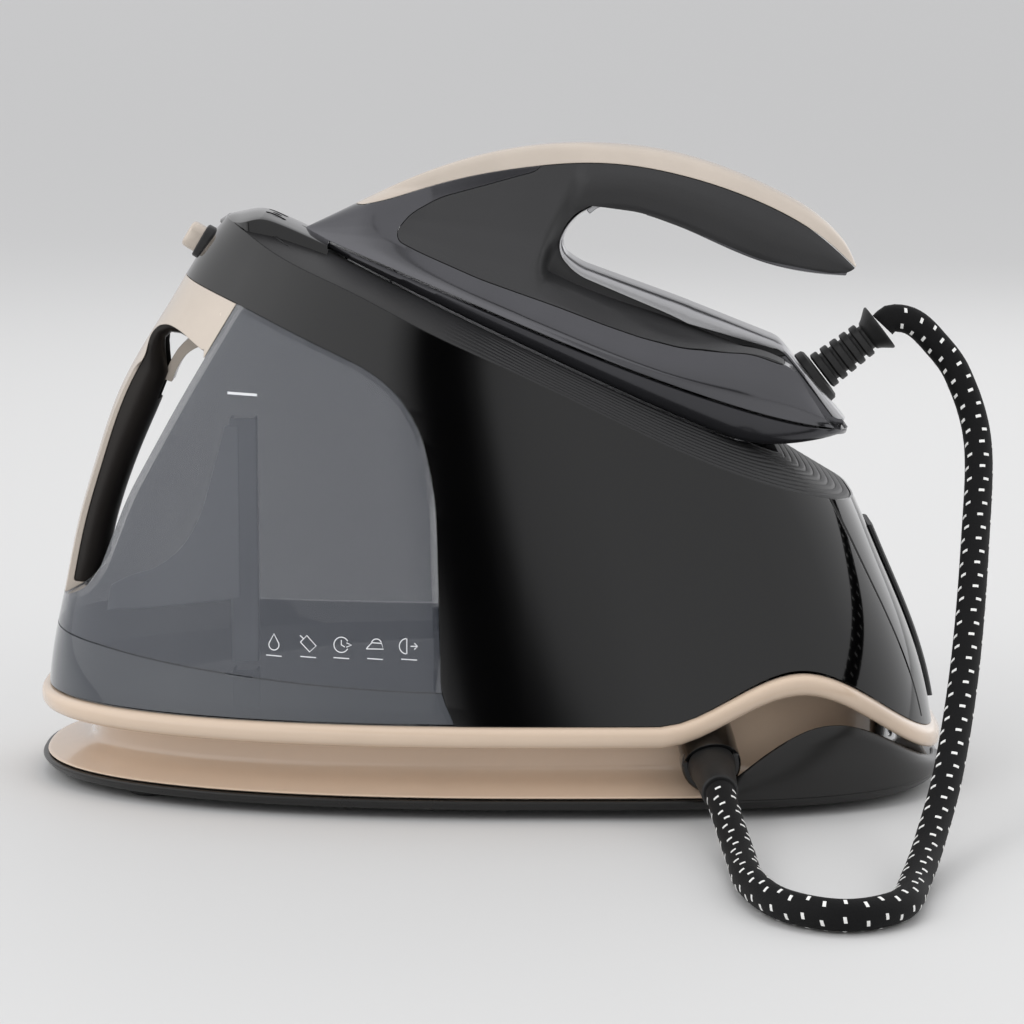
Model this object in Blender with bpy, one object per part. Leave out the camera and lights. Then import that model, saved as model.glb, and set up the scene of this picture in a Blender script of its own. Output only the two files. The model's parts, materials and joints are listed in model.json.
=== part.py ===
"""Steam generator iron: a base station with a removable water tank and an iron parked on its rest plate.

Millimetres are used for the dimensions and turned into metres when a mesh is made.
The station stands on z = 0 with its front (tank, handle) at -X and its rear at +X.
The iron is modelled in its own frame: x runs along the sole to the heel, z is the sole's normal.
"""

import math

import bmesh
import bpy
import numpy as np
from mathutils import Vector

MM = 0.001
GAP = 0.4  # running gap between neighbouring pieces

# The station's own centre, measured from the middle of the whole appliance with hose and cord
STATION_X = -10.0

# Outer form: a rounded plan that leans inwards as it rises
PLAN_STEPS = 40
X_WIDEST = 30.0
PLAN_FRONT_POWER = 2.4
PLAN_REAR_POWER = 3.2
FRONT_LINE = [(30, -203), (53, -201), (82, -195), (112, -188.6), (144, -179), (176, -167), (216, -143),
              (241, -127), (249, -120), (262, -110)]
REAR_LINE = [(18, 202), (44, 198), (72, 189), (100, 177), (127, 165), (150, 155)]
WIDTH_AT_LIP = 112.0
LIP_Z = 40.0
LEAN = 0.22

# Rest plate: a tilted plane that levels out towards the rear
TILT = math.radians(25)
HEEL_X = 145.6
HEEL_Z = 124.7
CURL_X = 69.0
CURL_LENGTH = 96.0
CURL_RISE = 11.0
PLATE_THICK = 4.0
WALL = 3.0
SKIN = 2.0  # how far the housing and the tank stand inside the lip

# Cream lip strip and the recessed neck that stores the hose
BASE_FRONT = -204.0
BASE_REAR = 203.0
BASE_HALF_WIDTH = 114.0
LIP_HEIGHT = 9.0
HUMP_START = 72.0
HUMP_PEAK = 133.0
HUMP_END = 215.0
HUMP_RISE = 21.5
HUMP_FALL = 39.5
NECK_INSET = 24.0
RIM_Z = 9.0
FOOT_HEIGHT = 3.0

# Tank bay, seen from the side: the parting line between tank and housing
BAY_LINE = [(-13, 30), (-14, 41), (-20, 53), (-22.6, 136), (-29, 163.5), (-52, 189), (-81, 202), (-109, 215),
            (-136, 225), (-170, 237)]
TANK_FLOOR_Z = 41.0
TANK_WALL = 2.6
TANK_TRAVEL_FRONT = -260.0

# Handle of the tank, seen from the side
OPENING_REAR = [(-120, 198), (-135, 173), (-149, 148), (-159, 130), (-166, 112), (-172, 97), (-179, 87)]
OPENING_TOP = [(-149, 201), (-140, 204), (-128, 202)]
HANDLE_HALF_WIDTH = 19.0
STRIP_THICK = 4.5
GRIP_HALF_WIDTH = 17.0
RELEASE_PIVOT = (-128.5, 0, 196.5)

# Openings and fittings of the tank: outlet port, filler mouth with its lid, intake tube
PORT_Y = 30.0
PORT_Z = 60.0
FLAP_PIVOT = (-58.0, 0, 189.4)
FLAP_LENGTH = 21.0
INTAKE_AT = (-111.5, 0, 47)
INTAKE_LENGTH = 112.0

# Controls in the nose
LOCK_CENTRE = (-128.5, 0, 238.5)
LOCK_AXIS = Vector((-0.86, 0, 0.51)).normalized()
PANEL_X = -101.0
BUTTON_Y = 9.0

# Rear wall and boiler
CAP_AT = (168, 0, 52)
CAP_BORE = [(0, 12.4), (45, 12.4)]
BOILER_AT = (24, 0, 84)
BOILER_RADIUS = 30.0
CUT_SPAN = 150.0  # half length of the prisms that trim the whole width of the station

# Iron, in its own frame: side profile lines
IRON_TOP = [(-257.6, 12), (-240, 33.6), (-227.5, 48.5), (-204, 71.7), (-178, 90.3), (-161, 99.2),
            (-128.5, 111.2), (-91.6, 116.6), (-72, 116.8), (-56.4, 115.8), (-42.2, 112.2), (-33, 106.5),
            (-27.7, 100.6)]
SEAM_LINE = [(-258, 12), (-210, 14.6), (-126, 19.2), (-70, 24), (-23, 31), (1, 36)]
SKIRT_BOTTOM = [(-258, 9), (-45, 11), (-23, 21), (1, 35)]
HOUSING_TOP = [(-257.6, 12.2), (-240, 33.6), (-227.5, 48.5), (-206, 68.5), (-190, 61), (-165, 50), (-152, 46),
               (-139, 45.5), (-91.6, 50), (-42, 52.2), (-34, 48.4), (-30, 46.4), (-8, 37.0), (-2, 34.7)]
SADDLE_UNDER = [(-206, 69.5), (-190, 62), (-165, 51), (-153.2, 47.5), (-152.8, 69), (-147, 77), (-124.8, 83),
                (-96.3, 84.9), (-67, 86), (-35.7, 93.4), (-28, 99)]
BAND_LINE = [(-149.6, 64), (-150.4, 57), (-147.5, 52.6), (-139, 50.0), (-91.6, 54.3), (-41, 56.6),
             (-30.4, 50.8), (-3, 38.6)]
IRON_NOSE = -257.0
IRON_HEEL = 0.0
IRON_HALF_WIDTH = 57.0
COVER_THICK = 4.0
COVER_HALF_WIDTH = 11.5
BAND_THICK = 2.6
BAND_HALF_WIDTH = 15.0
TRIGGER_PIVOT = (-124.8, 0, 84)

# Hoses and cord
HOSE_RADIUS = 6.2
HOSE_SIDES = 8
CORD_RADIUS = 3.5
OUTLET = (94, -84, 26)
OUTLET_AXIS = (0.05, -1, -0.12)
CORD_EXIT = (60, 84, 22)
HEEL_BOOT = (149.4, 0, 179.4)
HEEL_BOOT_AXIS = (0.792, 0, 0.610)
HEEL_BOOT_LENGTH = 33.5
BOOT_RIBS = 5
BOOT_RIB_PITCH = 5.2
HOSE_FRONT = -280.0
CORD_BACK = 282.7

LOOKS = {
    "gloss_black": ((0.035, 0.035, 0.037), 0.12, 0.0),
    "tank_grey": ((0.10, 0.12, 0.14), 0.08, 0.0),
    "champagne": ((0.62, 0.55, 0.47), 0.28, 0.35),
    "cream": ((0.60, 0.46, 0.33), 0.2, 0.0),
    "grip_brown": ((0.045, 0.036, 0.03), 0.5, 0.0),
    "matte_grey": ((0.06, 0.06, 0.063), 0.55, 0.0),
    "gloss_grey": ((0.09, 0.09, 0.10), 0.16, 0.1),
    "silver": ((0.62, 0.62, 0.62), 0.3, 0.9),
    "rubber": ((0.02, 0.02, 0.02), 0.8, 0.0),
    "sole": ((0.55, 0.56, 0.58), 0.25, 1.0),
    "steel": ((0.5, 0.5, 0.5), 0.35, 1.0),
    "brass": ((0.6, 0.42, 0.16), 0.3, 1.0),
    "circuit_green": ((0.02, 0.12, 0.05), 0.5, 0.0),
    "white_plastic": ((0.7, 0.7, 0.68), 0.4, 0.0),
    "braid": ((0.012, 0.012, 0.013), 0.9, 0.0),
    "clear": ((0.9, 0.95, 1.0), 0.05, 0.0),
}


# ---------------------------------------------------------------- outlines

def line_value(line, at):
    """Height of a side-profile line at one place along it."""
    xs, values = zip(*line)
    return float(np.interp(at, xs, values))


def smooth_step(t):
    t = min(max(t, 0.0), 1.0)
    return t * t * (3 - 2 * t)


def lip_top(x):
    if x < HUMP_PEAK:
        return LIP_Z + HUMP_RISE * smooth_step((x - HUMP_START) / (HUMP_PEAK - HUMP_START))
    return LIP_Z + HUMP_RISE - HUMP_FALL * smooth_step((x - HUMP_PEAK) / (HUMP_END - HUMP_PEAK))


def plane_height(x):
    """The tilted plane on which the iron's sole rests."""
    return HEEL_Z + (HEEL_X - x) * math.tan(TILT)


def plate_height(x):
    """Rim of the rest plate: the plane, curling up towards the rear."""
    return plane_height(x) + CURL_RISE * (max(x - CURL_X, 0.0) / CURL_LENGTH) ** 2


def oval(angle, front, rear, half_width):
    """Point of the station's plan at one angle; 0 is the rear tip and pi the front tip."""
    power = PLAN_REAR_POWER if math.cos(angle) > 0 else PLAN_FRONT_POWER
    reach = rear - X_WIDEST if math.cos(angle) > 0 else X_WIDEST - front
    c, s = math.cos(angle), math.sin(angle)
    x = X_WIDEST + reach * math.copysign(abs(c) ** (2 / power), c)
    y = half_width * math.copysign(abs(s) ** (2 / power), s) if abs(s) > 1e-9 else 0.0
    return x, y


def plan_angles():
    """Angles round the plan, closer together at the two tips, mirrored about y = 0."""
    half = [math.pi * i / (PLAN_STEPS // 2) for i in range(PLAN_STEPS // 2 + 1)]
    eased = [a - 0.18 * math.sin(2 * a) for a in half]
    return eased + [2 * math.pi - a for a in reversed(eased[1:-1])]


def form_ring(height, inset=0.0, drop=0.0):
    """Ring on the leaning outer form, at a height that may follow x, moved inwards by inset."""
    ring = []
    for angle in plan_angles():
        z = height(0.0)
        for _ in range(25):
            front = line_value(FRONT_LINE, z) + inset
            rear = line_value(REAR_LINE, z) - inset
            half_width = WIDTH_AT_LIP - LEAN * (z - LIP_Z) - inset
            x, y = oval(angle, front, rear, half_width)
            z = height(x)
        ring.append((x, y, z - drop))
    return ring


def base_ring(inset, height):
    """Ring of the base's plan, moved inwards by inset; height is a number or a function of x."""
    ring = []
    for angle in plan_angles():
        x, y = oval(angle, BASE_FRONT + inset, BASE_REAR - inset, BASE_HALF_WIDTH - inset)
        ring.append((x, y, height(x) if callable(height) else height))
    return ring


def lip_drop(drop):
    return lambda x: lip_top(x) - drop


def iron_half_width(x, grow=0.0):
    """Half width of the iron at its seam: a pointed nose that widens to a rounded heel."""
    t = min(max((x - IRON_NOSE) / (IRON_HEEL - IRON_NOSE), 0.0), 1.0)
    nose = math.sin(min(t / 0.75, 1.0) * math.pi / 2) ** 0.72
    heel = max(1 - max((t - 0.78) / 0.22, 0.0) ** 2.4, 0.0) ** 0.5
    return max((IRON_HALF_WIDTH + grow) * nose * (0.25 + 0.75 * heel), 0.6)


def iron_stations(start, end, count):
    """Places along the iron, closer together at both ends."""
    middle, reach = (start + end) / 2, (end - start) / 2
    return [middle - reach * math.cos(math.pi * i / (count - 1)) for i in range(count)]


def offset_line(line, distance):
    """A polyline moved sideways, to the left of its direction for a positive distance."""
    points = [Vector(p) for p in line]
    moved = []
    for i, point in enumerate(points):
        before = points[max(i - 1, 0)]
        after = points[min(i + 1, len(points) - 1)]
        along = (after - before).normalized()
        moved.append((point.x - along.y * distance, point.y + along.x * distance))
    return moved


# ---------------------------------------------------------------- solids

def clear_scene():
    for thing in list(bpy.data.objects):
        bpy.data.objects.remove(thing)


def solid(name, points, faces):
    """An object whose faces all point out."""
    shape = bmesh.new()
    corners = [shape.verts.new(Vector(p) * MM) for p in points]
    for face in faces:
        shape.faces.new([corners[i] for i in face])
    bmesh.ops.recalc_face_normals(shape, faces=shape.faces)
    mesh = bpy.data.meshes.new(name)
    shape.to_mesh(mesh)
    shape.free()
    thing = bpy.data.objects.new(name, mesh)
    bpy.context.scene.collection.objects.link(thing)
    return thing


def side_faces(rings, count, closed):
    faces = []
    last = len(rings) if closed else len(rings) - 1
    for k in range(last):
        low, high = k * count, ((k + 1) % len(rings)) * count
        for i in range(count):
            j = (i + 1) % count
            faces.append((low + i, low + j, high + j, high + i))
    return faces


def mirrored_cap(first, count):
    """Strips across a ring that is the same on both sides of y = 0."""
    half = count // 2
    faces = [(first, first + 1, first + count - 1)]
    for i in range(1, half - 1):
        faces.append((first + i, first + i + 1, first + count - i - 1, first + count - i))
    faces.append((first + half - 1, first + half, first + half + 1))
    return faces


def loft(name, rings, closed=False, flat_caps=False):
    """Skin over rings of equal length; closed joins the last ring to the first, with no caps."""
    count = len(rings[0])
    faces = side_faces(rings, count, closed)
    last = (len(rings) - 1) * count
    if not closed and flat_caps:
        faces += [tuple(range(count)), tuple(range(last, last + count))]
    elif not closed:
        faces += mirrored_cap(0, count) + mirrored_cap(last, count)
    return solid(name, [p for ring in rings for p in ring], faces)


def prism(name, outline, low_y, high_y):
    """A side-view outline (x, z) made solid between two values of y."""
    rings = [[(x, y, z) for x, z in outline] for y in (low_y, high_y)]
    return loft(name, rings, flat_caps=True)


def side_cutter(name, outline):
    """A side-view outline that reaches beyond both flanks of the appliance."""
    return prism(name, outline, -CUT_SPAN, CUT_SPAN)


def block(name, low, high, bevel=0.0):
    outline = [(low[0], low[2]), (high[0], low[2]), (high[0], high[2]), (low[0], high[2])]
    thing = prism(name, outline, low[1], high[1])
    if bevel:
        rounding = thing.modifiers.new("Edge", "BEVEL")
        rounding.width = bevel * MM
        rounding.segments = 2
    return thing


def ring_about(centre, axis, radius, sides):
    """A circle about an axis."""
    axis = Vector(axis).normalized()
    across = axis.cross(Vector((0, 1, 0)) if abs(axis.y) < 0.9 else Vector((1, 0, 0))).normalized()
    other = axis.cross(across)
    ring = []
    for i in range(sides):
        a = 2 * math.pi * (i + 0.5) / sides
        ring.append(tuple(Vector(centre) + across * radius * math.cos(a) + other * radius * math.sin(a)))
    return ring


def turned(name, origin, axis, profile, sides=16, closed=False):
    """A turned piece: profile lists (distance along the axis, radius)."""
    direction = Vector(axis).normalized()
    rings = [ring_about(Vector(origin) + direction * d, direction, r, sides) for d, r in profile]
    return loft(name, rings, closed=closed, flat_caps=True)


def tube(name, path, radius, sides):
    """A round bar swept along a path, without twist."""
    points = [Vector(p) for p in path]
    across = Vector((0, 0, 1))
    rings = []
    for i, point in enumerate(points):
        along = (points[min(i + 1, len(points) - 1)] - points[max(i - 1, 0)]).normalized()
        across = (across - along * across.dot(along)).normalized()
        other = along.cross(across)
        angles = [2 * math.pi * k / sides for k in range(sides)]
        rings.append([tuple(point + across * radius * math.cos(a) + other * radius * math.sin(a))
                      for a in angles])
    return loft(name, rings, flat_caps=True)


def curve_through(points, per_span):
    """A smooth path through the points (Catmull-Rom)."""
    knots = [Vector(p) for p in points]
    knots = [2 * knots[0] - knots[1]] + knots + [2 * knots[-1] - knots[-2]]
    path = []
    for i in range(1, len(knots) - 2):
        a, b, c, d = knots[i - 1:i + 3]
        for k in range(per_span):
            t = k / per_span
            path.append(0.5 * (2 * b + (c - a) * t + (2 * a - 5 * b + 4 * c - d) * t ** 2
                               + (3 * b - a - 3 * c + d) * t ** 3))
    path.append(knots[-2])
    return path


def combine(body, tool, operation="DIFFERENCE"):
    """Cuts, keeps or joins with a second solid, which is used up."""
    step = body.modifiers.new("Shape", "BOOLEAN")
    step.operation = operation
    step.object = tool
    step.solver = "EXACT"
    graph = bpy.context.evaluated_depsgraph_get()
    body.data = bpy.data.meshes.new_from_object(body.evaluated_get(graph))
    body.modifiers.clear()
    bpy.data.objects.remove(tool)
    return body


def finish(thing, look, parent, pivot=(0, 0, 0)):
    """Names the mesh, gives it its material, and hangs it on its parent with its origin at the pivot."""
    colour, roughness, metallic = LOOKS[look]
    material = bpy.data.materials.get(look) or bpy.data.materials.new(look)
    material.use_nodes = True
    shader = material.node_tree.nodes["Principled BSDF"]
    shader.inputs["Base Color"].default_value = (*colour, 1.0)
    shader.inputs["Roughness"].default_value = roughness
    shader.inputs["Metallic"].default_value = metallic
    thing.data.materials.clear()
    thing.data.materials.append(material)
    for point in thing.data.vertices:
        point.co -= Vector(pivot) * MM
    thing.data.shade_smooth()
    thing.data.set_sharp_from_angle(angle=math.radians(35))
    thing.location = Vector(pivot) * MM
    thing.parent = parent
    return thing


def empty(name, location, tilt=0.0, parent=None):
    frame = bpy.data.objects.new(name, None)
    frame.location = Vector(location) * MM
    frame.rotation_euler = (0, tilt, 0)
    frame.parent = parent
    bpy.context.scene.collection.objects.link(frame)
    return frame


# ---------------------------------------------------------------- base of the station

def base_pan(parent):
    floor = FOOT_HEIGHT + GAP
    top = RIM_Z - GAP
    rings = [base_ring(16, floor), base_ring(1, 7.4), base_ring(0, top - 0.6), base_ring(2, top),
             base_ring(5, top), base_ring(18, floor + 2.2)]
    finish(loft("base_pan", rings), "matte_grey", parent)


def rubber_feet(parent):
    for x, side in ((-150, "front"), (155, "rear")):
        for y, hand in ((-62, "left"), (62, "right")):
            foot = turned(f"foot_{side}_{hand}", (x, y, 0), (0, 0, 1), [(0, 8), (0.8, 9), (FOOT_HEIGHT, 9)])
            finish(foot, "rubber", parent)


def lower_housing(parent):
    """Cream strip, recessed neck and bottom rim, as one hollow belt."""
    outer = [(3, lip_drop(0)), (0.6, lip_drop(1)), (0, lip_drop(3.5)), (0.6, lip_drop(LIP_HEIGHT - 1)),
             (3, lip_drop(LIP_HEIGHT)), (NECK_INSET - 3, lip_drop(LIP_HEIGHT + 0.8)),
             (NECK_INSET, lip_drop(LIP_HEIGHT + 3)), (NECK_INSET, 15.0), (NECK_INSET - 5, 12.0),
             (3.5, RIM_Z + 1.4), (2.2, RIM_Z)]
    inner = [(6, RIM_Z), (NECK_INSET, 9.6), (NECK_INSET + WALL, 12.5),
             (NECK_INSET + WALL, lip_drop(LIP_HEIGHT + 1)), (NECK_INSET, lip_drop(LIP_HEIGHT - 2)),
             (6, lip_drop(LIP_HEIGHT - 3)), (6, lip_drop(0))]
    rings = [base_ring(inset, height) for inset, height in outer + inner]
    belt = loft("lower_housing", rings, closed=True)
    outlet = turned("outlet_hole", OUTLET, OUTLET_AXIS, [(-6, 8.2), (9, 8.2)], sides=12)
    cord_hole = turned("cord_hole", CORD_EXIT, (0, 1, 0), [(-10, 5.2), (12, 5.2)], sides=12)
    combine(belt, outlet)
    combine(belt, cord_hole)
    finish(belt, "cream", parent)


def guard_height(x):
    """Top edge of the black fin that keeps the stored hose in place."""
    return 15 + 22 * smooth_step((x - 108) / 40) - 25 * smooth_step((x - 150) / 52)


def hose_guards(parent):
    start, end, steps = 0.405 * math.pi, 0.07 * math.pi, 16
    for sign, hand in ((-1, "left"), (1, "right")):
        rings = []
        for k in range(steps + 1):
            angle = start + (end - start) * k / steps
            column = []
            for inset, high in ((-0.3, False), (1.6, False), (1.6, True), (-0.3, True)):
                x, y = oval(angle, BASE_FRONT + inset, BASE_REAR - inset, BASE_HALF_WIDTH - inset)
                top = max(guard_height(x), RIM_Z + 3.0)
                column.append((x, sign * y, top if high else RIM_Z - 0.05))
            rings.append(column)
        finish(loft(f"hose_guard_{hand}", rings, flat_caps=True), "gloss_black", parent)


def form_solid(name, inset, bottom, top):
    steps = 5
    rings = []
    for k in range(steps + 1):
        s = k / steps
        rings.append(form_ring(lambda x: bottom(x) * (1 - s) + top(x) * s, inset))
    return loft(name, rings)


def bay_outline(offset):
    """The tank bay seen from the side; a positive offset makes it larger."""
    line = offset_line(BAY_LINE, -offset)
    return line + [(TANK_TRAVEL_FRONT, line[-1][1]), (TANK_TRAVEL_FRONT, line[0][1])]


def main_housing(parent):
    shell = form_solid("main_housing", SKIN, lip_drop(-GAP), lambda x: plane_height(x) - PLATE_THICK - GAP)
    combine(shell, side_cutter("bay", bay_outline(0.0)))
    room = form_solid("room", SKIN + WALL, lip_drop(12.0), lambda x: plane_height(x) - PLATE_THICK - WALL)
    combine(room, side_cutter("bay_wall", bay_outline(WALL)))
    combine(shell, room)
    housing_bores(shell)
    finish(shell, "gloss_black", parent)


def housing_bores(shell):
    """Bores for the lock button in the nose, the descaling cap at the rear and the tank's socket."""
    start = Vector(LOCK_CENTRE) - LOCK_AXIS * 18
    combine(shell, turned("lock_bore", start, LOCK_AXIS, [(0, 6.6), (30, 6.6)], sides=12))
    combine(shell, turned("drain_bore", CAP_AT, (1, 0, 0), CAP_BORE, sides=16))
    combine(shell, turned("socket_hole", (-34, PORT_Y, PORT_Z), (1, 0, 0), [(0, 5.3), (26, 5.3)], sides=12))


def iron_rest_plate(parent):
    """Dish that carries the iron: raised rim with a sunken floor of the same tilt."""
    under = form_ring(plane_height, 1.5, PLATE_THICK)
    rim_low = form_ring(plate_height, 0.4, PLATE_THICK - 1.6)
    rim = form_ring(plate_height, 1.4)
    rim_inner = form_ring(plate_height, 6.0)
    sunk = form_ring(plane_height, 14.0, 2.0)
    plate = loft("iron_rest_plate", [under, rim_low, rim, rim_inner, sunk])
    front = [(-230, 150), (-84, 150), (-84, 300), (-230, 300)]
    combine(plate, side_cutter("front_cut", front))
    finish(plate, "matte_grey", parent)


def nose_cradle(parent):
    """Raised nose in front of the rest plate."""
    steps = 9
    rings = []
    for k in range(steps):
        x = -118 + (33 - 0.6) * k / (steps - 1)
        rise = 3.0 + 5.0 * math.sin(math.pi * (k + 1) / (steps + 1))
        base = plate_height(x) - PLATE_THICK + 0.1
        half = 17 + 15 * smooth_step(k / (steps - 1))
        rings.append([(x, half, base), (x, half, base + 2.5), (x, half * 0.75, base + rise),
                      (x, 0, base + rise + 1.0), (x, -half * 0.75, base + rise), (x, -half, base + 2.5),
                      (x, -half, base)])
    hump = loft("nose_cradle", rings, flat_caps=True)
    for y in (-BUTTON_Y, BUTTON_Y):
        hole = [(-9, 5.0), (12, 5.0)]
        combine(hump, turned("button_hole", panel_point(y), panel_normal(), hole, sides=12))
    hole = [(-9, 2.4), (12, 2.4)]
    combine(hump, turned("lens_hole", panel_point(0), panel_normal(), hole, sides=10))
    finish(hump, "gloss_black", parent)


def panel_normal():
    return Vector((math.sin(TILT), 0, math.cos(TILT)))


def panel_point(y):
    """Place of a control, just under the surface of the panel in the nose."""
    return Vector((PANEL_X, y, plate_height(PANEL_X) - 2))


def panel_buttons(parent):
    for y, name in ((-BUTTON_Y, "power_button"), (BUTTON_Y, "steam_level_button")):
        profile = [(0.4, 4.5), (5.2, 4.5), (6.4, 3.4)]
        button = turned(name, panel_point(y), panel_normal(), profile, sides=12)
        finish(button, "gloss_grey", parent, panel_point(y))
    profile = [(0.4, 2.0), (6.2, 2.0), (7.0, 1.4)]
    finish(turned("indicator_lens", panel_point(0), panel_normal(), profile, sides=10), "clear", parent)


def lock_parts(parent):
    """Push button in the nose that frees the iron, and the latch it drives inside."""
    profile = [(-7, 6.0), (7.5, 6.0), (9.5, 4.6)]
    button = turned("lock_button", LOCK_CENTRE, LOCK_AXIS, profile, sides=14)
    finish(button, "champagne", parent, LOCK_CENTRE)
    latch_low = (-116, -8, 226)
    latch = block("lock_latch", latch_low, (-104, 8, 229))
    finish(latch, "steel", parent, latch_low)


def rear_cover(parent):
    """Narrow strip down the middle of the rear wall."""
    heights = [34, 60, 86, 112]
    rings = []
    for z in heights:
        x = line_value(REAR_LINE, z) - SKIN
        half = 19 - 0.03 * z
        rings.append([(x + 1.0, -half, z), (x + 2.8, -half + 1, z), (x + 2.8, half - 1, z),
                      (x + 1.0, half, z)])
    strip = loft("rear_cover", rings, flat_caps=True)
    combine(strip, turned("cap_hole", CAP_AT, (1, 0, 0), CAP_BORE, sides=16))
    finish(strip, "gloss_black", parent)


def calc_parts(parent):
    """Descaling cap in the rear wall and the collar it screws into."""
    collar = [(0, 8.0), (0, 12.0), (17, 12.0), (17, 8.0)]
    finish(turned("drain_collar", CAP_AT, (1, 0, 0), collar, closed=True), "brass", parent)
    cap = [(6, 7.6), (19, 7.6), (19, 11.4), (25, 10.6), (26.5, 9.0)]
    finish(turned("calc_cap", CAP_AT, (1, 0, 0), cap, sides=16), "gloss_black", parent, CAP_AT)


def inner_chassis(parent):
    floor = loft("inner_chassis", [base_ring(30, 30.0), base_ring(30, 34.0)])
    combine(floor, block("tube_notch", (84, -100, 20), (104, -62, 40)))
    finish(floor, "white_plastic", parent)
    tray = [form_ring(lambda x: 36.6, 9.0), form_ring(lambda x: 39.6, 9.0)]
    deck = loft("tank_tray", tray)
    combine(deck, block("tray_end", (-10, -CUT_SPAN, 20), (260, CUT_SPAN, 60)))
    finish(deck, "gloss_black", parent)


def boiler_parts(parent):
    """Steam boiler with its heating rod, and the saddle that carries both."""
    outer = [(0, 5), (0, 18), (8, BOILER_RADIUS), (96, BOILER_RADIUS), (104, 18), (104, 5)]
    inner = [(102, 5), (102, 17), (95, BOILER_RADIUS - 1.6), (9, BOILER_RADIUS - 1.6), (2, 17), (2, 5)]
    boiler = turned("boiler", BOILER_AT, (1, 0, 0), outer + inner, sides=20, closed=True)
    finish(boiler, "steel", parent)
    heater = turned("boiler_heater", (40, 0, 49.0), (1, 0, 0), [(0, 3.6), (70, 3.6)], sides=8)
    finish(heater, "steel", parent)
    saddle = block("boiler_saddle", (38, -24, 34.6), (106, 24, 80))
    seat = [(-5, BOILER_RADIUS + 0.5), (120, BOILER_RADIUS + 0.5)]
    combine(saddle, turned("seat", BOILER_AT, (1, 0, 0), seat, sides=20))
    combine(saddle, block("heater_seat", (20, -6, 44), (120, 6, 60)))
    combine(saddle, block("saddle_gap", (50, -40, 40), (94, 40, 90)))
    finish(saddle, "white_plastic", parent)


def steam_works(parent):
    """Valve, pump, control board and pipes under the rest plate."""
    valve = block("solenoid_valve", (94, -10, 114.6), (114, 10, 130), bevel=1.0)
    finish(valve, "brass", parent)
    pump = turned("water_pump", (30, 58, 54), (1, 0, 0), [(0, 6), (6, 14), (60, 14), (66, 6)], sides=14)
    finish(pump, "matte_grey", parent)
    board = block("control_board", (20, -78, 36.0), (90, -34, 37.6))
    finish(board, "circuit_green", parent)
    supply = [(-8.6, PORT_Y, PORT_Z), (-4, PORT_Y + 0.2, PORT_Z), (6, 40, 58), (16, 54, 55), (29.4, 58, 54)]
    finish(tube("water_tube", curve_through(supply, 3), 3.0, 7), "clear", parent)
    steam = [(104, -10.8, 122), (104, -18, 121), (105, -36, 110), (104, -56, 72), (97, -70, 38),
             (94, -76, 28)]
    finish(tube("steam_tube", curve_through(steam, 3), 3.0, 7), "rubber", parent)
    socket = turned("tank_socket", (-24.5, PORT_Y, PORT_Z), (1, 0, 0), [(0, 4.5), (15, 4.5)], sides=12)
    finish(socket, "white_plastic", parent)


# ---------------------------------------------------------------- water tank

def tank_form(name, inset, bottom):
    """The part of the outer form that fills the tank bay."""
    body = form_solid(name, SKIN + inset, lambda x: bottom, lambda x: plate_height(x) + 8)
    return combine(body, side_cutter("bay_limit", bay_outline(-GAP - inset)), "INTERSECT")


def handle_region():
    """Side view of everything in front of the opening's rear wall, with the head block on top."""
    return [(-109, 216)] + OPENING_REAR + [(-192, 76), (-230, 72), (-230, 240), (-109, 240)]


def tank_shell(parent):
    shell = tank_form("tank_shell", 0.0, TANK_FLOOR_Z)
    combine(shell, side_cutter("handle_cut", handle_region()))
    room = tank_form("tank_room", TANK_WALL, TANK_FLOOR_Z - 6)
    region = offset_line([(-100, 222)] + OPENING_REAR + [(-194, 76), (-230, 71)], WALL)
    combine(room, side_cutter("handle_wall", region + [(-230, 250), (-90, 250)]))
    combine(shell, room)
    port = turned("port", (-40, PORT_Y, PORT_Z), (1, 0, 0), [(0, 6.2), (30, 6.2)], sides=12)
    combine(shell, port)
    combine(shell, prism("filler", filler_outline(-6.0, 12.0, 2.2), -22, 22))
    finish(shell, "tank_grey", parent)


def tank_bottom(parent):
    rings = [form_ring(lambda x: TANK_FLOOR_Z + 0.2, 5.4), form_ring(lambda x: TANK_FLOOR_Z + 4.0, 5.4)]
    floor = loft("tank_bottom", rings)
    combine(floor, block("floor_end", (-24, -CUT_SPAN, 20), (260, CUT_SPAN, 60)))
    finish(floor, "tank_grey", parent)


def strip_inner(z, inset=0.0):
    """Inside of the light outer strip at one height."""
    return line_value(FRONT_LINE, z) + SKIN + STRIP_THICK + inset


def grip_depth(z):
    """Thickness of the soft grip: full in the middle of the handle, thin under the release lever."""
    return 2.6 + 8.4 * smooth_step((z - 86) / 18) * (1 - 0.85 * smooth_step((z - 158) / 28))


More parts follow.
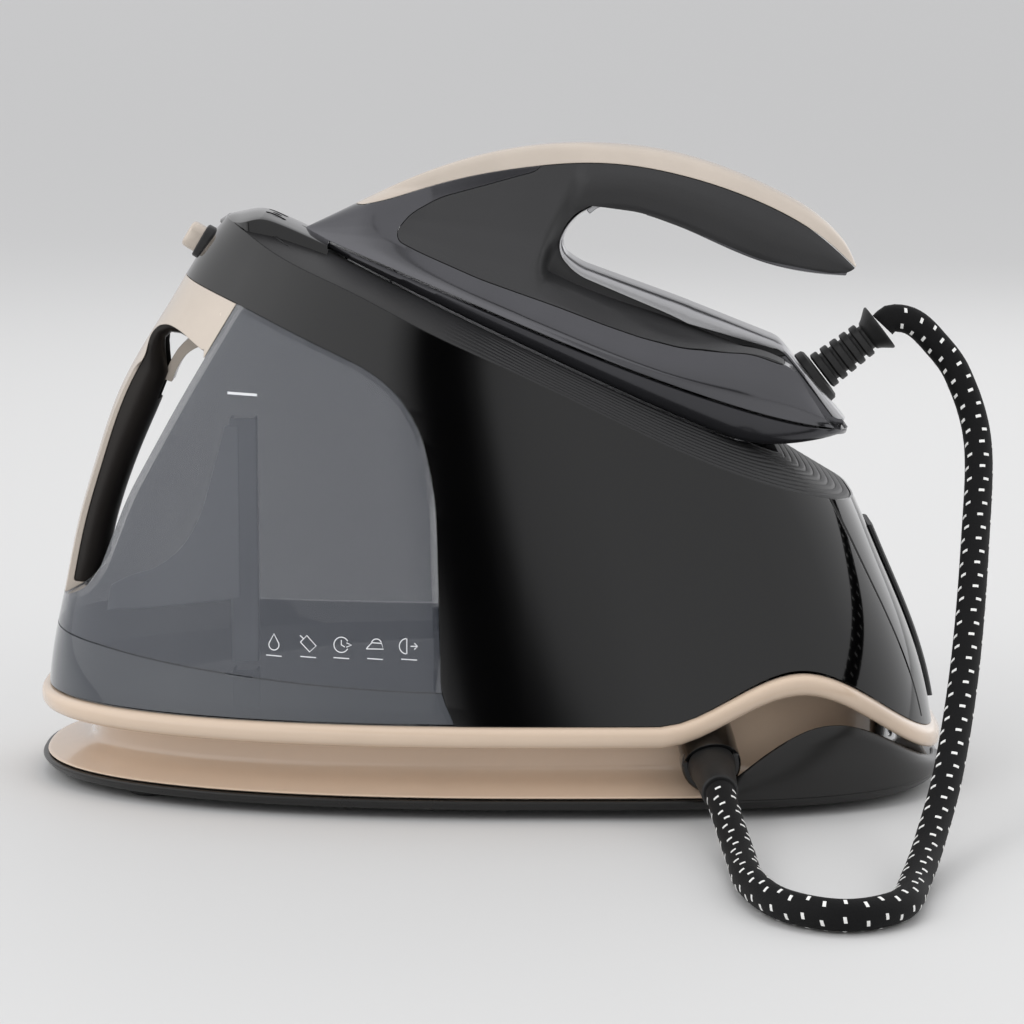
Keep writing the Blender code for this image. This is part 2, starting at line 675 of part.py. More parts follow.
def tank_handle(parent):
    """Head block and outer strip of the carrying handle, with the dark grip inside."""
    head = tank_form("tank_handle", 0.0, 70)
    rear = offset_line([(-109, 216)] + OPENING_REAR, -GAP)
    limit = rear + [(-192, 79), (-240, 77), (-240, 239), (-108, 239)]
    combine(head, side_cutter("handle_limit", limit), "INTERSECT")
    heights = [86, 98, 112, 130, 150, 170, 186, 194]
    opening = OPENING_REAR + [(strip_inner(z), z) for z in heights] + OPENING_TOP
    combine(head, side_cutter("opening", opening))
    side = [(-260, 60), (-260, 196), (-124, 196), (-124, 60)]
    for low, high in ((-CUT_SPAN, -HANDLE_HALF_WIDTH), (HANDLE_HALF_WIDTH, CUT_SPAN)):
        combine(head, prism("side_trim", side, low, high))
    finish(head, "champagne", parent)
    grip_heights = [94, 104, 114, 130, 150, 170, 184, 192]
    outer = [(strip_inner(z, GAP), z) for z in grip_heights]
    inner = [(strip_inner(z, GAP) + grip_depth(z), z) for z in grip_heights]
    grip = prism("handle_grip", outer + inner[::-1], -GRIP_HALF_WIDTH, GRIP_HALF_WIDTH)
    finish(grip, "grip_brown", parent)


# ---------------------------------------------------------------- iron, in its own frame

def iron_ring(inset, line, drop=0.0, steps=15):
    """Plan ring of the iron at the height of a side-profile line; first point at the heel."""
    xs = iron_stations(IRON_HEEL - inset, IRON_NOSE + inset * 2.2, steps)
    side = [(x, iron_half_width(x, -inset), line_value(line, x) - drop) for x in xs]
    tip_heel = (side[0][0], 0.0, side[0][2])
    tip_nose = (side[-1][0], 0.0, side[-1][2])
    return [tip_heel] + side[1:-1] + [tip_nose] + [(x, -y, z) for x, y, z in reversed(side[1:-1])]


def iron_section(x, low, high, low_half, top_half):
    """Cross-section of the upper iron: full at the seam, drawn in towards the top."""
    height = high - low
    side = [(low_half, low), (low_half * 0.985, low + height * 0.25),
            (low_half * 0.86, low + height * 0.6),
            (low_half * 0.45 + top_half * 0.55, low + height * 0.86), (top_half * 0.7, high)]
    return [(x, y, z) for y, z in side] + [(x, -y, z) for y, z in reversed(side)]


def soleplate(parent):
    """Ironing sole with its rounded edge, and the cast steam chamber on top of it."""
    rings = []
    for inset, z in ((7.0, 0.4), (5.0, 1.4), (4.6, 7.0)):
        rings.append(iron_ring(inset, [(IRON_NOSE, z), (IRON_HEEL, z)]))
    sole = loft("soleplate", [[(x * 0.87 - 20, y, z) for x, y, z in ring] for ring in rings])
    finish(sole, "sole", parent)
    rings = []
    for inset, z in ((12.0, 7.4), (12.0, 16.0)):
        rings.append(iron_ring(inset, [(IRON_NOSE, z), (IRON_HEEL, z)]))
    chamber = loft("steam_chamber", [[(x * 0.78 - 34, y * 0.92, z) for x, y, z in ring] for ring in rings])
    combine(chamber, block("boss_gap", (-200, -8, 12), (-140, 8, 30)))
    finish(chamber, "steel", parent)


def iron_skirt(parent):
    rings = [iron_ring(0.8, SEAM_LINE, GAP), iron_ring(2.6, SKIRT_BOTTOM), iron_ring(5.4, SKIRT_BOTTOM),
             iron_ring(3.6, SEAM_LINE, GAP)]
    finish(loft("iron_skirt", rings, closed=True), "gloss_black", parent)


def iron_housing(parent):
    """Glossy body between the seam and the saddle, hollow and open below."""
    def body(name, start, end, wall, bottom_drop):
        rings = []
        for x in iron_stations(start, end, 19):
            low = line_value(SEAM_LINE, x) - bottom_drop
            high = max(line_value(HOUSING_TOP, x) - wall, low + 0.5)
            half = max(iron_half_width(x) - wall, 0.5)
            narrow = min(half * 0.92, 16 + 20 * smooth_step((x + 190) / 60))
            rings.append(iron_section(x, low, high, half, narrow))
        return loft(name, rings, flat_caps=True)

    shell = body("iron_housing", IRON_NOSE + 1.5, IRON_HEEL - 5, 0.0, 0.0)
    room = body("iron_room", IRON_NOSE + 22, IRON_HEEL - 14, WALL, 9.0)
    combine(shell, room)
    finish(shell, "gloss_grey", parent)


def grip_body(name, start, end, count):
    """Front post and open-ended grip, as sections from the saddle to the tip."""
    places = sorted(iron_stations(start, end, count) + [-153.3, -152.7])
    rings = []
    for x in places:
        low = line_value(SADDLE_UNDER, x)
        high = line_value(IRON_TOP, x)
        post = smooth_step((x + 206) / 22) * (1 - smooth_step((x + 160) / 50))
        half = 7 + 12 * smooth_step((x + 206) / 30) + 14 * post
        half *= 1 - 0.55 * smooth_step((x + 60) / 34)
        high = max(high, low + 0.6)
        rings.append(iron_section(x, low, high, half, half * 0.8))
    return loft(name, rings, flat_caps=True)


def iron_handle(parent):
    """Matte saddle and grip with its light top strip, trigger and switch."""
    shell = grip_body("handle_shell", -205, -29, 20)
    strip_top = [p for p in IRON_TOP if p[0] >= -204]
    strip_low = offset_line(strip_top, -COVER_THICK)
    outer = offset_line(strip_top, 8.0)
    strip_room = offset_line(strip_top, -COVER_THICK - GAP) + outer[::-1]
    combine(shell, prism("strip_room", strip_room, -IRON_HALF_WIDTH, IRON_HALF_WIDTH))
    pocket = [(-151, 60), (-122.5, 60), (-121, 97), (-149, 94)]
    combine(shell, prism("trigger_pocket", pocket, -8.5, 8.5))
    finish(shell, "matte_grey", parent)
    cover = prism("handle_cover", strip_top + strip_low[::-1], -COVER_HALF_WIDTH, COVER_HALF_WIDTH)
    finish(cover, "champagne", parent)
    outline = [(-147, 71.5), (-140, 76.0), (-132, 78.6), (-124, 80.4), (-124, 86), (-134, 84.0), (-145.5, 78)]
    trigger = prism("steam_trigger", outline, -7.5, 7.5)
    finish(trigger, "silver", parent, TRIGGER_PIVOT)
    switch = block("trigger_switch", (-143, -5, 87.5), (-129, 5, 92.5))
    finish(switch, "white_plastic", parent)


def iron_band(parent):
    """Satin band that lines the handle opening and runs down the heel."""
    outline = BAND_LINE + offset_line(BAND_LINE, -BAND_THICK)[::-1]
    finish(prism("opening_band", outline, -BAND_HALF_WIDTH, BAND_HALF_WIDTH), "silver", parent)


def iron_inside(parent):
    """Steam pipe and wiring block between the hose entry and the steam chamber."""
    pipe = curve_through([(-24, 6, 38), (-44, 8, 38), (-60, 8, 28), (-72, 8, 21), (-82, 8, 20)], 3)
    finish(tube("iron_steam_pipe", pipe, 2.5, 7), "rubber", parent)
    thermostat = turned("iron_thermostat", (-120, 0, 17), (0, 0, 1), [(0, 9), (6, 9), (6.5, 5)], sides=12)
    finish(thermostat, "white_plastic", parent)


def plate_rests(parent):
    """Silicone strips under the sole and the stop behind it, all fixed to the rest plate."""
    finish(block("sole_pad", (-190, -26, -1.6), (-180, 26, 0.0)), "rubber", parent)
    stop = block("heel_stop", (-17, -13, -1.4), (-9, 13, 9), bevel=1.5)
    finish(stop, "gloss_black", parent)


# ---------------------------------------------------------------- hoses and cord

def along(origin, axis, distance):
    return Vector(origin) + Vector(axis).normalized() * distance


def heel_boot(parent):
    """Ribbed boot that guards the hose where it leaves the iron."""
    collar_at = along(HEEL_BOOT, HEEL_BOOT_AXIS, -2.4)
    finish(turned("boot_collar", collar_at, HEEL_BOOT_AXIS, [(0, 9.5), (2, 10)]), "rubber", parent)
    profile = []
    for rib in range(BOOT_RIBS):
        start = rib * BOOT_RIB_PITCH
        radius = 8.6 - rib * 0.25
        profile += [(start, radius), (start + 3.4, radius), (start + 3.9, radius - 1.6),
                    (start + 4.7, radius - 1.6)]
    profile += [(26, 7.6), (32, 11.0), (HEEL_BOOT_LENGTH, 10.2)]
    boot = turned("iron_hose_boot", HEEL_BOOT, HEEL_BOOT_AXIS, profile, sides=12)
    finish(boot, "rubber", parent)


def base_outlet(parent):
    """Cowl in the neck, and the smooth boot that guards the hose in front of it."""
    cowl = [(0, 7.6), (9, 7.6), (9, 10.8), (19, 11.2), (20, 10.4), (21, 11.4), (22, 12), (24.4, 11.6)]
    finish(turned("hose_outlet", OUTLET, OUTLET_AXIS, cowl), "gloss_black", parent)
    boot = [(0, 9.6), (10, 8.8), (27, 7.4)]
    boot_at = along(OUTLET, OUTLET_AXIS, 25)
    finish(turned("base_hose_boot", boot_at, OUTLET_AXIS, boot), "rubber", parent)


def lying(path, radius):
    """The path, kept from sinking into the floor."""
    return [Vector((p.x, p.y, max(p.z, radius))) for p in path]


def steam_hose(parent):
    """Braided hose from the base outlet, over the floor in front, up to the iron."""
    low = HOSE_RADIUS
    start = along(OUTLET, OUTLET_AXIS, 53.2)
    end = along(HEEL_BOOT, HEEL_BOOT_AXIS, HEEL_BOOT_LENGTH + 1.2)
    knots = [start, (99, -166, 13), (101.5, -200, 7.6), (103.5, -235, low + 0.1), (114, -266, low),
             (136, HOSE_FRONT, low), (158, -266, low), (168, -232, low + 0.6), (178, -196, 14),
             (190, -158, 34), (202, -112, 68), (212, -62, 110), (217.9, -22, 150), (211, -5, 178),
             (200, 0, 193.5), (190.5, 0, 202), along(HEEL_BOOT, HEEL_BOOT_AXIS, HEEL_BOOT_LENGTH + 6.5), end]
    path = lying(curve_through(knots, 3), HOSE_RADIUS)
    finish(tube("steam_hose", path, HOSE_RADIUS, HOSE_SIDES), "braid", parent)


def power_supply(parent):
    """Grommet, cord lying behind the station and its moulded plug."""
    profile = [(0, 4.8), (8, 4.8), (8, 7.5), (12, 7), (26, 4.6)]
    finish(turned("cord_grommet", CORD_EXIT, (0, 1, 0), profile), "rubber", parent)
    low = CORD_RADIUS
    knots = [(60, 110.8, 22), (60, 122, 20.5), (62, 138, 12), (64, 165, low + 0.3), (60, 205, low),
             (30, 252, low), (-30, CORD_BACK, low), (-80, 268, low), (-104, 240, low)]
    path = lying(curve_through(knots, 3), CORD_RADIUS)
    finish(tube("power_cord", path, CORD_RADIUS, 7), "rubber", parent)
    direction = (path[-1] - path[-2]).normalized()
    direction.z = 0.0
    plug_at = Vector((path[-1].x, path[-1].y, 17)) + direction * 0.5
    body = [(0, 5), (8, 8), (14, 16.5), (34, 17), (38, 15)]
    plug = turned("power_plug", plug_at, direction, body, sides=14)
    across = direction.cross(Vector((0, 0, 1)))
    for hand in (-1, 1):
        root = plug_at + direction * 34 + across * 9.5 * hand
        combine(plug, turned("pin", root, direction, [(0, 2.4), (21, 2.4), (23, 1.4)], sides=10), "UNION")
    finish(plug, "rubber", parent)


# ---------------------------------------------------------------- small moving parts of the tank

def tank_release(parent):
    """Curved trigger inside the handle opening that frees the tank."""
    outline = [(-126.5, 198.5), (-133, 197.6), (-139, 191.5), (-144.5, 181), (-142, 178.2), (-138.5, 180.5),
               (-134.5, 187.5), (-130, 192.4), (-127, 194)]
    finish(prism("tank_release", outline, -8, 8), "champagne", parent, RELEASE_PIVOT)


def filler_flap(parent):
    """Lid of the filler mouth, hinged at its rear edge so that it swings down into the tank."""
    lid = prism("filler_flap", filler_outline(-3.2, -1.2, 0.0), -20, 20)
    finish(lid, "tank_grey", parent, FLAP_PIVOT)


def filler_outline(low, high, wider):
    """Side view of the filler mouth in the tank's sloping top, between two offsets from the bay line."""
    slope = [(FLAP_PIVOT[0] + wider, bay_height(FLAP_PIVOT[0] + wider)),
             (FLAP_PIVOT[0] - FLAP_LENGTH - wider, bay_height(FLAP_PIVOT[0] - FLAP_LENGTH - wider))]
    return offset_line(slope, -high) + offset_line(slope, -low)[::-1]


def bay_height(x):
    return line_value(BAY_LINE[::-1], x)


def tank_fittings(parent):
    """Intake tube, the wall beside the handle recess, and the seal of the outlet port."""
    pipe = [(0, 3.2), (0, 5.0), (INTAKE_LENGTH, 5.0), (INTAKE_LENGTH, 3.2)]
    finish(turned("intake_tube", INTAKE_AT, (0, 0, 1), pipe, sides=10, closed=True), "clear", parent)
    panel = prism("tank_inner_wall", [(-132, 48), (-98, 48), (-98, 150), (-104, 158), (-112, 130)], -24, -22)
    finish(panel, "clear", parent)
    seal = [(0, 4.9), (0, 5.9), (5.4, 5.9), (5.4, 4.9)]
    seal_at = (-26.6, PORT_Y, PORT_Z)
    finish(turned("tank_valve", seal_at, (1, 0, 0), seal, sides=14, closed=True), "rubber", parent)


clear_scene()
station = empty("station", (STATION_X, 0, 0))
tank_frame = empty("tank_frame", (0, 0, 0), parent=station)
iron_frame = empty("iron_frame", (HEEL_X, 0, HEEL_Z), tilt=TILT, parent=station)

base_pan(station)
rubber_feet(station)
lower_housing(station)
hose_guards(station)
main_housing(station)
iron_rest_plate(station)
nose_cradle(station)
panel_buttons(station)
lock_parts(station)
rear_cover(station)
calc_parts(station)
inner_chassis(station)
boiler_parts(station)
steam_works(station)
plate_rests(iron_frame)
base_outlet(station)
steam_hose(station)
power_supply(station)
tank_shell(tank_frame)
tank_bottom(tank_frame)
tank_handle(tank_frame)
tank_release(tank_frame)
filler_flap(tank_frame)
tank_fittings(tank_frame)
soleplate(iron_frame)
iron_skirt(iron_frame)
iron_housing(iron_frame)
iron_handle(iron_frame)
iron_band(iron_frame)
iron_inside(iron_frame)
heel_boot(station)
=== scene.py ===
import json
import math

import bmesh
import bpy
import numpy as np
from mathutils import Euler, Matrix, Vector


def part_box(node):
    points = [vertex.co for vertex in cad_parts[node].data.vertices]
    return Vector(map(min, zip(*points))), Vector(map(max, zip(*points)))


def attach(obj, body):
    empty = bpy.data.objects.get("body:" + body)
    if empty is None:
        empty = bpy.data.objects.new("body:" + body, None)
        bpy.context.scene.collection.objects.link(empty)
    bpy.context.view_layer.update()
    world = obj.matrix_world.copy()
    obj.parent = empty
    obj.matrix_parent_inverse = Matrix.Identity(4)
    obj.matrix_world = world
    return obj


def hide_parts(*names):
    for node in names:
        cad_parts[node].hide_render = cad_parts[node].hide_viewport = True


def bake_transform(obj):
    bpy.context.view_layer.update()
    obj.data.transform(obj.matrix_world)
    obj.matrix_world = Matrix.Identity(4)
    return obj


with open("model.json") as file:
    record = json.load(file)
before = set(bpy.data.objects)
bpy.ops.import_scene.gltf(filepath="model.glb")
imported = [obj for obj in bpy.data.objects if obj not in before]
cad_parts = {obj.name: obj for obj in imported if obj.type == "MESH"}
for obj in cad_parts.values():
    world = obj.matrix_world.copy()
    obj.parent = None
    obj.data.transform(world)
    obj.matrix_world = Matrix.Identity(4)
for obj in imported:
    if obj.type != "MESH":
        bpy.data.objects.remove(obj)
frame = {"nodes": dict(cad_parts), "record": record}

"""Looks of the steam generator iron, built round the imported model.

Dimensions are millimetres in the station's own frame (its front is -X) until a mesh is made.
The iron's pieces are written in its own frame: x along the sole to the heel, z its normal.
"""

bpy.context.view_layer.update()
MM = 0.001

# The base pan tells where the station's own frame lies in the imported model
PAN_LOW, PAN_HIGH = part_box("base_pan")
BASE_FRONT, BASE_REAR, BASE_HALF_WIDTH = -204.0, 203.0, 114.0
STATION_X = (PAN_LOW.x + PAN_HIGH.x) / 2 / MM - (BASE_FRONT + BASE_REAR) / 2

X_WIDEST = 30.0
FRONT_POWER, REAR_POWER = 2.4, 3.2
LIP_Z, LEAN, WIDTH_AT_LIP = 40.0, 0.22, 112.0
TILT = math.radians(25)
HEEL_X, HEEL_Z = 145.6, 124.7
CURL_X, CURL_LENGTH, CURL_RISE = 69.0, 96.0, 11.0
NECK_INSET, RIM_Z = 24.0, 9.0
HUMP_START, HUMP_PEAK, HUMP_END = 72.0, 133.0, 215.0
HUMP_RISE, HUMP_FALL = 21.5, 39.5
SKIN = 2.0  # how far the housing stands inside the lip
SEAM = 0.35  # half the visible gap between two casings
PLATE_THICK = 4.0
CREST_Z = 8.0  # height of the ridge that surrounds the sole, above the plane the iron rests on
SOLE_STRETCH, SOLE_SHIFT, SOLE_INSET = 0.87, -20.0, 5.0
SOLE_MIDDLE = -130.0
PLATE_MIDDLE, TERRACES = 40.0, 10
BAY_LINE = [(-13, 30), (-14, 41), (-20, 53), (-22.6, 136), (-29, 163.5), (-39, 179), (-52, 189),
            (-81, 202), (-109, 215), (-136, 225), (-170, 237)]
OPENING_REAR = [(-120, 198), (-135, 173), (-149, 148), (-159, 130), (-166, 112), (-172, 97),
                (-179, 88), (-190, 82)]
STRIP_THICK = 4.5
GRIP_HALF = 18.2
# where the painted shade over the back of the cream neck begins
REAR_SHADE_X = 171.0


# ---------------------------------------- curves

def spline(points):
    """Natural cubic spline through (place, value) pairs, as a function."""
    at = np.array([p[0] for p in points], float)
    value = np.array([p[1] for p in points], float)
    step = np.diff(at)
    slope = np.diff(value) / step
    size = len(at)
    matrix = np.eye(size)
    right = np.zeros(size)
    for i in range(1, size - 1):
        matrix[i, i - 1:i + 2] = step[i - 1], 2 * (step[i - 1] + step[i]), step[i]
        right[i] = 6 * (slope[i] - slope[i - 1])
    bend = np.linalg.solve(matrix, right)

    def height(x):
        x = min(max(x, at[0]), at[-1])
        i = min(max(int(np.searchsorted(at, x)) - 1, 0), size - 2)
        a, b, h = at[i + 1] - x, x - at[i], step[i]
        return float((bend[i] * a ** 3 + bend[i + 1] * b ** 3) / (6 * h)
                     + (value[i] / h - bend[i] * h / 6) * a
                     + (value[i + 1] / h - bend[i + 1] * h / 6) * b)

    return height


def ease(t):
    t = min(max(t, 0.0), 1.0)
    return t * t * (3 - 2 * t)


def rounded(points, radius, steps=6, closed=False):
    """A polyline whose corners are rounded with quadratic arcs."""
    pts = [Vector(p) for p in points]
    count = len(pts)
    line = []
    for i, corner in enumerate(pts):
        if not closed and i in (0, count - 1):
            line.append(tuple(corner))
            continue
        before, after = pts[i - 1], pts[(i + 1) % count]
        r = min(radius, (before - corner).length * 0.48, (after - corner).length * 0.48)
        start = corner + (before - corner).normalized() * r
        end = corner + (after - corner).normalized() * r
        for k in range(steps + 1):
            t = k / steps
            line.append(tuple((1 - t) ** 2 * start + 2 * t * (1 - t) * corner + t * t * end))
    return line


def through(points, per_span):
    """A smooth path through the points (Catmull-Rom)."""
    knots = [Vector(p) for p in points]
    knots = [2 * knots[0] - knots[1]] + knots + [2 * knots[-1] - knots[-2]]
    path = []
    for i in range(1, len(knots) - 2):
        a, b, c, d = knots[i - 1:i + 3]
        for k in range(per_span):
            t = k / per_span
            path.append(0.5 * (2 * b + (c - a) * t + (2 * a - 5 * b + 4 * c - d) * t ** 2
                               + (3 * b - a - 3 * c + d) * t ** 3))
    path.append(knots[-2])
    return path


def offset_line(line, distance):
    """A polyline moved sideways, to the left of its direction for a positive distance."""
    points = [Vector(p) for p in line]
    moved = []
    for i, point in enumerate(points):
        along = (points[min(i + 1, len(points) - 1)] - points[max(i - 1, 0)]).normalized()
        moved.append((point.x - along.y * distance, point.y + along.x * distance))
    return moved


def run_lengths(path):
    """Distance run at each point of a path."""
    lengths = [0.0]
    for a, b in zip(path, path[1:]):
        lengths.append(lengths[-1] + (Vector(b) - Vector(a)).length)
    return lengths


front_line = spline([(8, -203.5), (30, -203), (53, -201), (82, -195), (112, -188.6), (144, -179),
                     (176, -167), (216, -143), (241, -127), (249, -120.5), (262, -110)])
rear_line = spline([(14, 203), (44, 198), (72, 189), (100, 177), (127, 165), (150, 153),
                    (250, 100)])


def lip_top(x):
    if x < HUMP_PEAK:
        return LIP_Z + HUMP_RISE * ease((x - HUMP_START) / (HUMP_PEAK - HUMP_START))
    return LIP_Z + HUMP_RISE - HUMP_FALL * ease((x - HUMP_PEAK) / (HUMP_END - HUMP_PEAK))


def plane_height(x):
    return HEEL_Z + (HEEL_X - x) * math.tan(TILT)


def plate_height(x):
    return plane_height(x) + CURL_RISE * (max(x - CURL_X, 0.0) / CURL_LENGTH) ** 2


rim_rise = spline([(-126, 3.2), (-108, 2.9), (-98, 1.2), (-60, 1.0), (-30, 0.0), (0, 0.4),
                   (40, 0.5), (90, 0.0), (170, 0.0)])


def rim_height(x):
    """Upper edge of the housing, where its flank meets the rest plate."""
    return plate_height(x) + rim_rise(x)


def oval(angle, front, rear, half_width):
    c, s = math.cos(angle), math.sin(angle)
    power = REAR_POWER if c > 0 else FRONT_POWER
    reach = rear - X_WIDEST if c > 0 else X_WIDEST - front
    x = X_WIDEST + reach * math.copysign(abs(c) ** (2 / power), c)
    y = half_width * math.copysign(abs(s) ** (2 / power), s) if abs(s) > 1e-9 else 0.0
    return x, y


def plan_angles(count):
    half = [math.pi * i / (count // 2) for i in range(count // 2 + 1)]
    eased = [a - 0.22 * math.sin(2 * a) for a in half]
    return eased + [2 * math.pi - a for a in reversed(eased[1:-1])]


def form_point(angle, height, inset):
    """Point of the leaning outer form at one angle round the plan, at a height that follows x."""
    z = height(0.0)
    for _ in range(14):
        half_width = WIDTH_AT_LIP - LEAN * (z - LIP_Z) - inset
        x, y = oval(angle, front_line(z) + inset, rear_line(z) - inset, half_width)
        z = height(x)
    return x, y, z


def form_ring(height, inset, count):
    return [form_point(a, height, inset) for a in plan_angles(count)]


def base_ring(inset, height, count):
    ring = []
    for angle in plan_angles(count):
        x, y = oval(angle, BASE_FRONT + inset, BASE_REAR - inset, BASE_HALF_WIDTH - inset)
        ring.append((x, y, height(x) if callable(height) else height))
    return ring


# ---------------------------------------- meshes

def on_station(p):
    return ((p[0] + STATION_X) * MM, p[1] * MM, p[2] * MM)


IRON_TURN = Matrix.Rotation(TILT, 3, "Y")


def on_iron(p):
    """A point of the iron's frame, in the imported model's frame."""
    q = IRON_TURN @ Vector(p)
    return on_station((q.x + HEEL_X, q.y, q.z + HEEL_Z))


def mesh_object(name, points, faces, place=on_station):
    shape = bmesh.new()
    corners = [shape.verts.new(place(p)) for p in points]
    for face in faces:
        if len(set(face)) > 2:
            shape.faces.new([corners[i] for i in dict.fromkeys(face)])
    bmesh.ops.remove_doubles(shape, verts=shape.verts, dist=1e-7)
    bmesh.ops.recalc_face_normals(shape, faces=shape.faces)
    mesh = bpy.data.meshes.new(name)
    shape.to_mesh(mesh)
    shape.free()
    thing = bpy.data.objects.new(name, mesh)
    bpy.context.scene.collection.objects.link(thing)
    return thing


def side_faces(rings, count, closed):
    faces = []
    last = len(rings) if closed else len(rings) - 1
    for k in range(last):
        low, high = k * count, ((k + 1) % len(rings)) * count
        for i in range(count):
            j = (i + 1) % count
            faces.append((low + i, low + j, high + j, high + i))
    return faces


def mirrored_cap(first, count):
    half = count // 2
    faces = [(first, first + 1, first + count - 1)]
    faces += [(first + i, first + i + 1, first + count - i - 1, first + count - i)
              for i in range(1, half - 1)]
    faces.append((first + half - 1, first + half, first + half + 1))
    return faces


def loft(name, rings, closed=False, caps="mirrored", place=on_station):
    count = len(rings[0])
    faces = side_faces(rings, count, closed)
    last = (len(rings) - 1) * count
    if not closed and caps == "flat":
        faces += [tuple(range(count)), tuple(range(last, last + count))]
    elif not closed and caps == "mirrored":
        faces += mirrored_cap(0, count) + mirrored_cap(last, count)
    return mesh_object(name, [p for ring in rings for p in ring], faces, place)


def prism(name, outline, low_y, high_y, place=on_station):
    rings = [[(x, y, z) for x, z in outline] for y in (low_y, high_y)]
    return loft(name, rings, caps="flat", place=place)


def ring_about(centre, axis, radius, sides, turn=0.0):
    axis = Vector(axis).normalized()
    across = axis.cross(Vector((0, 1, 0)) if abs(axis.y) < 0.9 else Vector((1, 0, 0))).normalized()
    other = axis.cross(across)
    angles = [2 * math.pi * (i + 0.5) / sides + turn for i in range(sides)]
    return [tuple(Vector(centre) + (across * math.cos(a) + other * math.sin(a)) * radius)
            for a in angles]


def turned(name, origin, axis, profile, sides=64, closed=False, place=on_station):
    direction = Vector(axis).normalized()
    rings = [ring_about(Vector(origin) + direction * d, direction, r, sides) for d, r in profile]
    return loft(name, rings, closed=closed, caps="flat", place=place)


def tube(name, path, radius, sides=24, place=on_station):
    """A round bar swept along a path; radius is a number or a function of the share of the path."""
    points = [Vector(p) for p in path]
    across = Vector((0, 0, 1))
    rings = []
    for i, point in enumerate(points):
        along = (points[min(i + 1, len(points) - 1)] - points[max(i - 1, 0)]).normalized()
        across = (across - along * across.dot(along)).normalized()
        other = along.cross(across)
        r = radius(i / (len(points) - 1)) if callable(radius) else radius
        rings.append([tuple(point + (across * math.cos(a) + other * math.sin(a)) * r)
                      for a in (2 * math.pi * k / sides for k in range(sides))])
    return loft(name, rings, caps="flat", place=place)


def combine(body, tool, operation="DIFFERENCE"):
    step = body.modifiers.new("Shape", "BOOLEAN")
    step.operation = operation
    step.object = tool
    step.solver = "MANIFOLD"
    graph = bpy.context.evaluated_depsgraph_get()
    body.data = bpy.data.meshes.new_from_object(body.evaluated_get(graph))
    body.modifiers.clear()
    bpy.data.objects.remove(tool)
    return body


def soften(thing, width, segments=3, angle=35):
    step = thing.modifiers.new("Edge", "BEVEL")
    step.width = width * MM
    step.segments = segments
    step.limit_method = "ANGLE"
    step.angle_limit = math.radians(angle)
    return thing


def piece(thing, body, look, stands_for=(), sharp=35):
    """Finishes a piece: shading, material, the body it rides on and the CAD nodes it stands for."""
    thing.data.materials.clear()
    thing.data.materials.append(LOOK[look])
    thing.data.shade_smooth()
    thing.data.set_sharp_from_angle(angle=math.radians(sharp))
    if stands_for:
        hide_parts(*stands_for)
    if body:
        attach(thing, body)
    return thing


# ---------------------------------------- materials

def new_material(name):
    material = bpy.data.materials.new(name)
    material.use_nodes = True
    return material, material.node_tree.nodes, material.node_tree.links


def add(nodes, kind, **values):
    node = nodes.new("ShaderNode" + kind)
    for key, value in values.items():
        if key in node.inputs:
            node.inputs[key].default_value = value
        else:
            setattr(node, key, value)
    return node


def settle(node, values):
    for name, value in values.items():
        node.inputs[name].default_value = value


def fade(nodes, low, high, start=0.0, end=1.0):
    """A colour ramp between two colours."""
    node = add(nodes, "ValToRGB")
    first, last = node.color_ramp.elements
    first.position, last.position = start, end
    first.color, last.color = (*low, 1), (*high, 1)
    return node


def moulded(name, colour, roughness, metallic=0.0, coat=0.0, grain=0.0, grain_size=900.0, edge=0.0,
            mottle=0.04):
    """Moulded plastic or metal: slight colour and gloss variation, fine grain, soft edges."""
    material, nodes, links = new_material(name)
    shader = nodes["Principled BSDF"]
    settle(shader, {"Metallic": metallic, "Coat Weight": coat, "Coat Roughness": 0.04})
    place = add(nodes, "TexCoord")
    cloud = add(nodes, "TexNoise", Scale=22.0, Detail=5.0, Roughness=0.6)
    links.new(place.outputs["Object"], cloud.inputs["Vector"])
    dark = [c * (1 - mottle) for c in colour]
    light = [min(c * (1 + mottle), 1.0) for c in colour]
    tint = fade(nodes, dark, light, 0.35, 0.65)
    links.new(cloud.outputs["Fac"], tint.inputs["Fac"])
    links.new(tint.outputs["Color"], shader.inputs["Base Color"])
    gloss = add(nodes, "MapRange")
    settle(gloss, {"To Min": roughness * 0.88, "To Max": min(roughness * 1.14, 1.0)})
    links.new(cloud.outputs["Fac"], gloss.inputs["Value"])
    links.new(gloss.outputs["Result"], shader.inputs["Roughness"])
    normal = None
    if edge:
        rounding = add(nodes, "Bevel", Radius=edge * MM)
        rounding.samples = 4
        normal = rounding.outputs["Normal"]
    if grain:
        fine = add(nodes, "TexNoise", Scale=grain_size, Detail=3.0, Roughness=0.5)
        links.new(place.outputs["Object"], fine.inputs["Vector"])
        bump = add(nodes, "Bump", Strength=grain, Distance=0.0002)
        links.new(fine.outputs["Fac"], bump.inputs["Height"])
        if normal:
            links.new(normal, bump.inputs["Normal"])
        normal = bump.outputs["Normal"]
    if normal:
        links.new(normal, shader.inputs["Normal"])
    return material


def brushed(name, colour, roughness, across=(1.0, 1.0, 60.0), strength=0.12):
    """Metal with a fine directional grain."""
    material = moulded(name, colour, roughness, metallic=0.95, mottle=0.06)
    nodes, links = material.node_tree.nodes, material.node_tree.links
    shader = nodes["Principled BSDF"]
    place = nodes["Texture Coordinate"]
    stretch = add(nodes, "Mapping", Scale=across)
    links.new(place.outputs["Object"], stretch.inputs["Vector"])
    lines = add(nodes, "TexNoise", Scale=60.0, Detail=4.0)
    links.new(stretch.outputs["Vector"], lines.inputs["Vector"])
    bump = add(nodes, "Bump", Strength=strength, Distance=0.0002)
    links.new(lines.outputs["Fac"], bump.inputs["Height"])
    links.new(bump.outputs["Normal"], shader.inputs["Normal"])
    return material


